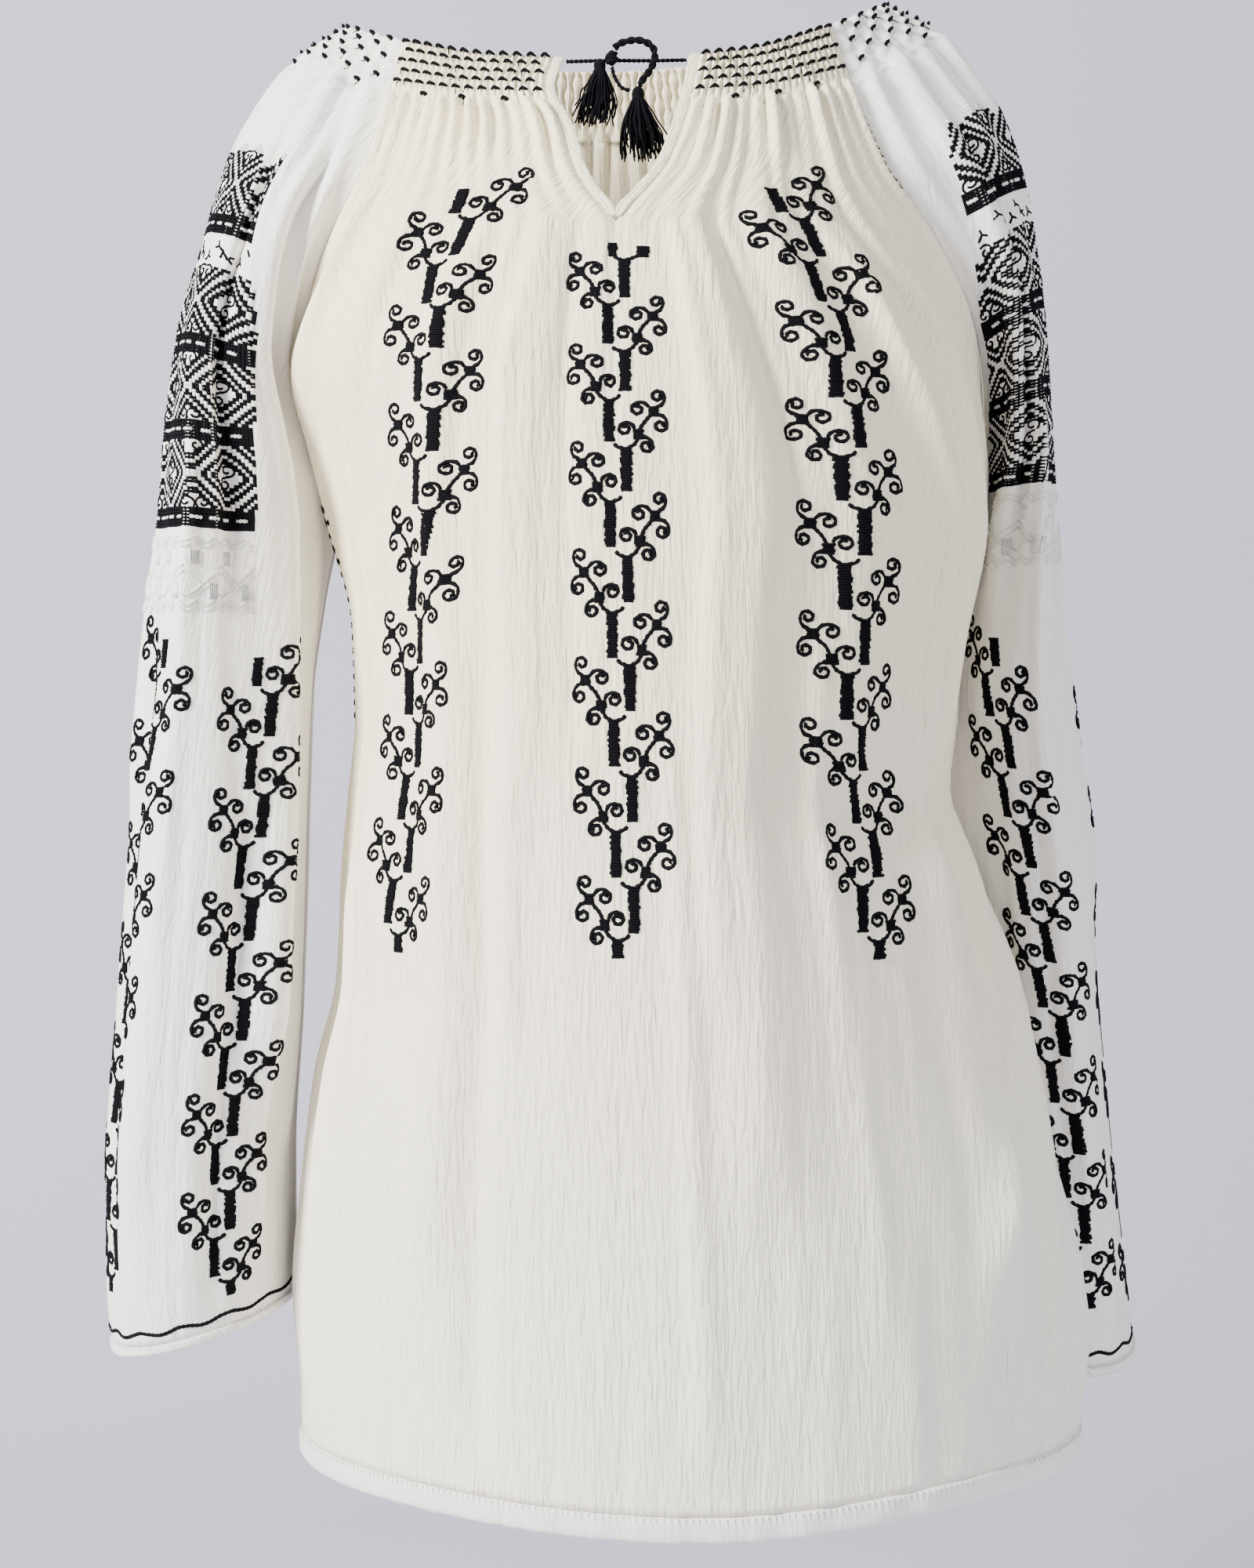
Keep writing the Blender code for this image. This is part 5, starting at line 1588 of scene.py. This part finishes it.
# The columns of the front, as drops and distances across, and those of the sleeves, as
# drops and shares
COLUMN_LEFT = ((81, -64), (90, -67), (131, -81), (167, -87), (237, -90), (309, -94),
               (381, -96), (452, -106))
COLUMN_MIDDLE = ((120, 2), (480, 2))
COLUMN_RIGHT = ((81, 74), (91, 77), (131, 93), (170, 104), (237, 109), (309, 111),
                (365, 111), (417, 118), (465, 118))
LINES_LEFT = (((303, 0.655), (597, 0.583)), ((321, 0.857), (459, 0.833), (657, 0.821)),
              ((303, 0.40), (640, 0.40)))
LINES_RIGHT = (((299, 0.143), (355, 0.19), (428, 0.226), (492, 0.262), (574, 0.274), (669, 0.262)),
               ((299, 0.49), (669, 0.47)), ((299, 0.70), (669, 0.71)))

studio()

cream = cloth_material("cream crepe", CREAM, COOL, (330, 620))
white = cloth_material("white crepe", WHITE, WHITE, (0, 700), crepe=0.8)
hemmed = cloth_material("hem cloth", PALE, PALE, (0, 700), crepe=0.4)
black = thread_material("black thread", BLACK, 0.85, 0.0)
pale = thread_material("pale thread", PALE, 0.7, 0.2)

# Levels of the grids. A denser grid ends just below the smocking.
SMOCK_EDGE = 36.0
TOP = levels((SMOCK_EDGE, 1.5))
FRONT_LOWER = np.concatenate((
    SMOCK_EDGE + levels((NOTCH_END - SMOCK_EDGE, 2.4)),
    NOTCH_END + levels((HEM_TOP - NOTCH_END, 3.8))[1:]))
BACK_LOWER = SMOCK_EDGE + levels((224.0, 4.5), (HEM_TOP - SMOCK_EDGE, 5.2))
OUTWARD = 0.45          # from the middle of the cloth to its outer side
# Columns of the grids, in the smocked top and below it; the front's are of one half
FRONT_TOP_COLUMNS, FRONT_COLUMNS = 144, 84
BACK_TOP_COLUMNS, BACK_COLUMNS = 312, 156
SLEEVE_TOP_COLUMNS, SLEEVE_COLUMNS = 120, 144

front_top = make_front(TOP, FRONT_TOP_COLUMNS)
front = make_front(FRONT_LOWER, FRONT_COLUMNS)
front_cloth = shell("front_cloth", [front_top, front], cream, "body_cloth")
back_top = make_back(TOP, BACK_TOP_COLUMNS)
rear = make_back(BACK_LOWER, BACK_COLUMNS)
back_cloth = shell("back_cloth", [back_top, rear], cream, "body_cloth")
left_lower, right_lower = (
    SMOCK_EDGE + levels((ARC_END - SMOCK_EDGE, 3.6), (end - CUFF_BAND - SMOCK_EDGE, 4.3))
    for end in (LEFT_END, RIGHT_END))
left_top = make_sleeve("sleeve_left", TOP, SLEEVE_TOP_COLUMNS)
left_sleeve = make_sleeve("sleeve_left", left_lower, SLEEVE_COLUMNS)
left_cloth = shell("left_sleeve_cloth", [left_top, left_sleeve], white, "sleeve_cloth")
right_top = make_sleeve("sleeve_right", TOP, SLEEVE_TOP_COLUMNS)
right_sleeve = make_sleeve("sleeve_right", right_lower, SLEEVE_COLUMNS)
right_cloth = shell("right_sleeve_cloth", [right_top, right_sleeve], white, "sleeve_cloth")

hem_panel, front_hem = rolled_edge(
    "front_hem", lambda drops: make_front(drops, FRONT_COLUMNS), HEM_TOP + SEAM_GAP, HEM_END, 1.3)
back_hem_panel, back_hem = rolled_edge(
    "back_hem", lambda drops: make_back(drops, BACK_COLUMNS), HEM_TOP + SEAM_GAP, HEM_END, 1.3)
cuffs = [
    rolled_edge("cuff_cloth_" + side,
                lambda drops, side=side: make_sleeve("sleeve_" + side, drops, SLEEVE_COLUMNS),
                end - CUFF_BAND + SEAM_GAP, end, 1.0)
    for side, end in (("left", LEFT_END), ("right", RIGHT_END))]
slit_hems = []
for edge in ("left", "right"):
    panel = slit_panel(edge)
    made = shell("slit_cloth_" + edge, [panel], cream, "body_cloth", 0.5, 0.7)
    slit_hems.append((panel, made))

# Gathers' stitches, black on the neck's tubes
WHOLE = ((0.0, 1.0),)
HALVES = ((-1.0, 0.0), (0.0, 1.0))
stitches = Mesh()
for panel, piece, parts in ((front_top, "front", HALVES), (back_top, "back", WHOLE),
                            (left_top, "sleeve_left", WHOLE), (right_top, "sleeve_right", WHOLE)):
    smocking(stitches, panel, TUBES[piece], parts)
stitches.piece("smocking_stitches", black, "black_thread")

# Columns down the body and the sleeves
Column = namedtuple("Column", "top bottom line first_side seed crown spread")
FRONT_WORK = (
    Column(80, 482, column_line(front, COLUMN_LEFT), 1, 3, False, 1.25),
    Column(128, 480, share_line((0, 0.0), (700, 0.0)), -1, 5, True, 1.0),
    Column(81, 482, column_line(front, COLUMN_RIGHT), 1, 7, False, 1.25),
)
body_work = Mesh()
for one in FRONT_WORK:
    strokes = column_strokes(one.top, one.bottom, one.first_side, one.seed, one.crown, one.spread)
    lay(body_work, front, one.line, strokes)
body_work.piece("front_columns", black, "black_thread")
back_work = Mesh()
for place, side, seed in ((0.25, 1, 13), (0.5, -1, 15), (0.75, 1, 17)):
    lay(back_work, rear, share_line((90, place), (480, place)), column_strokes(90, 480, side, seed))
back_work.piece("back_columns", black, "black_thread")
sleeve_work = Mesh()
for panel, lines, top, bottom in (
        (left_sleeve, LINES_LEFT, 306, 665), (right_sleeve, LINES_RIGHT, 300, 690)):
    for index, places in enumerate(lines):
        lay(sleeve_work, panel, share_line(*places),
            column_strokes(top + 9 * index, bottom, 1 if index else -1, 19 + index))
sleeve_work.piece("sleeve_columns", black, "black_thread")

# Shoulder bands and the pale band below them
for name, panel, line, top, limits in (
        ("left", left_sleeve, share_line((80, 0.81), (256, 0.81)), 80, BANDS_LEFT),
        ("right", right_sleeve, share_line((72, 0.205), (256, 0.205)), 72, BANDS_RIGHT)):
    chart = Chart(panel, line, top)
    black_work = Mesh()
    pale_work = Mesh()
    reach = (-104, 34) if name == "left" else (-40, 98)
    shoulder_bands(black_work, pale_work, chart, limits, reach)
    rows = sum(band.rows for band in BANDS)
    low, high = (limit[-1][1] for limit in limits)
    pale_band(pale_work, chart, rows * CELL + 2.0, low, high)
    black_work.piece("shoulder_bands_" + name, black, "black_thread")
    pale_work.piece("pale_band_" + name, pale, "sleeve_cloth")

# Seam and edge stitches
edging = Mesh()
dark_edging = Mesh()
for panel, share in ((front, -0.985), (front, 0.985), (rear, 0.008), (rear, 0.992)):
    seam_stitches(dark_edging, panel, share, 40, 92, 4.2, 3.0, 1.0, 1.6)
    seam_stitches(edging, panel, share, 96, 250, 4.6, 3.2, 0.8, 1.4)
    seam_stitches(edging, panel, share, 352, 700, 4.6, 3.2, 0.8, 1.4)
for share in (-0.875, 0.93):
    for index, drop in enumerate(np.arange(244, 352, 6.6)):
        spread = 1.9 + (index * 5 % 3) * 0.4
        shift = 0.9 * math.sin(2.1 * index)
        reach = np.array([-spread, 0.0, spread]) + shift
        lay(dark_edging, front, share_line((0, share), (1, share)), [
            Stroke(reach, drop + np.array([-2.0, 0.0, 1.4]), 2.2, 0.0),
            Stroke(reach, drop + np.array([2.0, 0.2, -0.6]), 2.0, 0.0)])
for panel, made in slit_hems:
    middle = panel.drops[2:-2]
    running_line(edging, panel, middle, np.full(len(middle), 0.22), 0.8, 0.35, gap=1)
    running_line(edging, panel, middle, np.full(len(middle), 0.78), 0.8, 0.35, gap=1)
whip_stitches(edging, hem_panel, HEM_TOP + 0.6, HEM_TOP + 5.0, 3.1, 0.9, 1.5)
whip_stitches(edging, back_hem_panel, HEM_TOP + 0.6, HEM_TOP + 5.0, 3.1, 0.9, 1.5)
for (panel, _), body in zip(cuffs, (left_sleeve, right_sleeve)):
    whip_stitches(edging, panel, panel.drops[0] + 0.2, panel.drops[-1] - 0.4, 1.9, 1.2, 1.35, 0.9)
    share = np.linspace(0.002, 0.998, 260)
    level = panel.drops[0] - 7.0 + 1.2 * np.sin(share * 2 * math.pi * 13)
    running_line(dark_edging, body, level, share, 2.4, 0.9)
edging.piece("edge_stitches", pale, "hem_cloth")
dark_edging.piece("dark_edge_stitches", black, "black_thread")

# The tie
drawstring, drawstring_line, drawstring_length = twisted_cord(
    "tie_cord", DRAWSTRING_ROUTE, DRAWSTRING_WIDTH, black)
bow, bow_line, bow_length = twisted_cord("tie_loop", BOW_ROUTE, BOW_WIDTH, black)
strand = twisted_cord("tie_end", STRAND_ROUTE, STRAND_WIDTH, black)[0]
tied_knot = knot(black)
left_tassel = tassel_threads("left_tassel", TASSEL_LEFT, 41, black)
right_tassel = tassel_threads("right_tassel", TASSEL_RIGHT, 43, black)

for made, node in (
        (front_cloth, "front_panel"), (back_cloth, "back_panel"), (left_cloth, "sleeve_left"),
        (right_cloth, "sleeve_right"), (front_hem, "hem_front"), (back_hem, "hem_back"),
        (cuffs[0][1], "cuff_edge_left"), (cuffs[1][1], "cuff_edge_right"),
        (slit_hems[0][1], "slit_hem_left"), (slit_hems[1][1], "slit_hem_right"),
        (drawstring, "drawstring"), (bow, "bow_loop"), (strand, "tie_strand"),
        (tied_knot, "bow_knot"), (left_tassel, "tassel_left"), (right_tassel, "tassel_right")):
    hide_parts(node)

low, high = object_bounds()
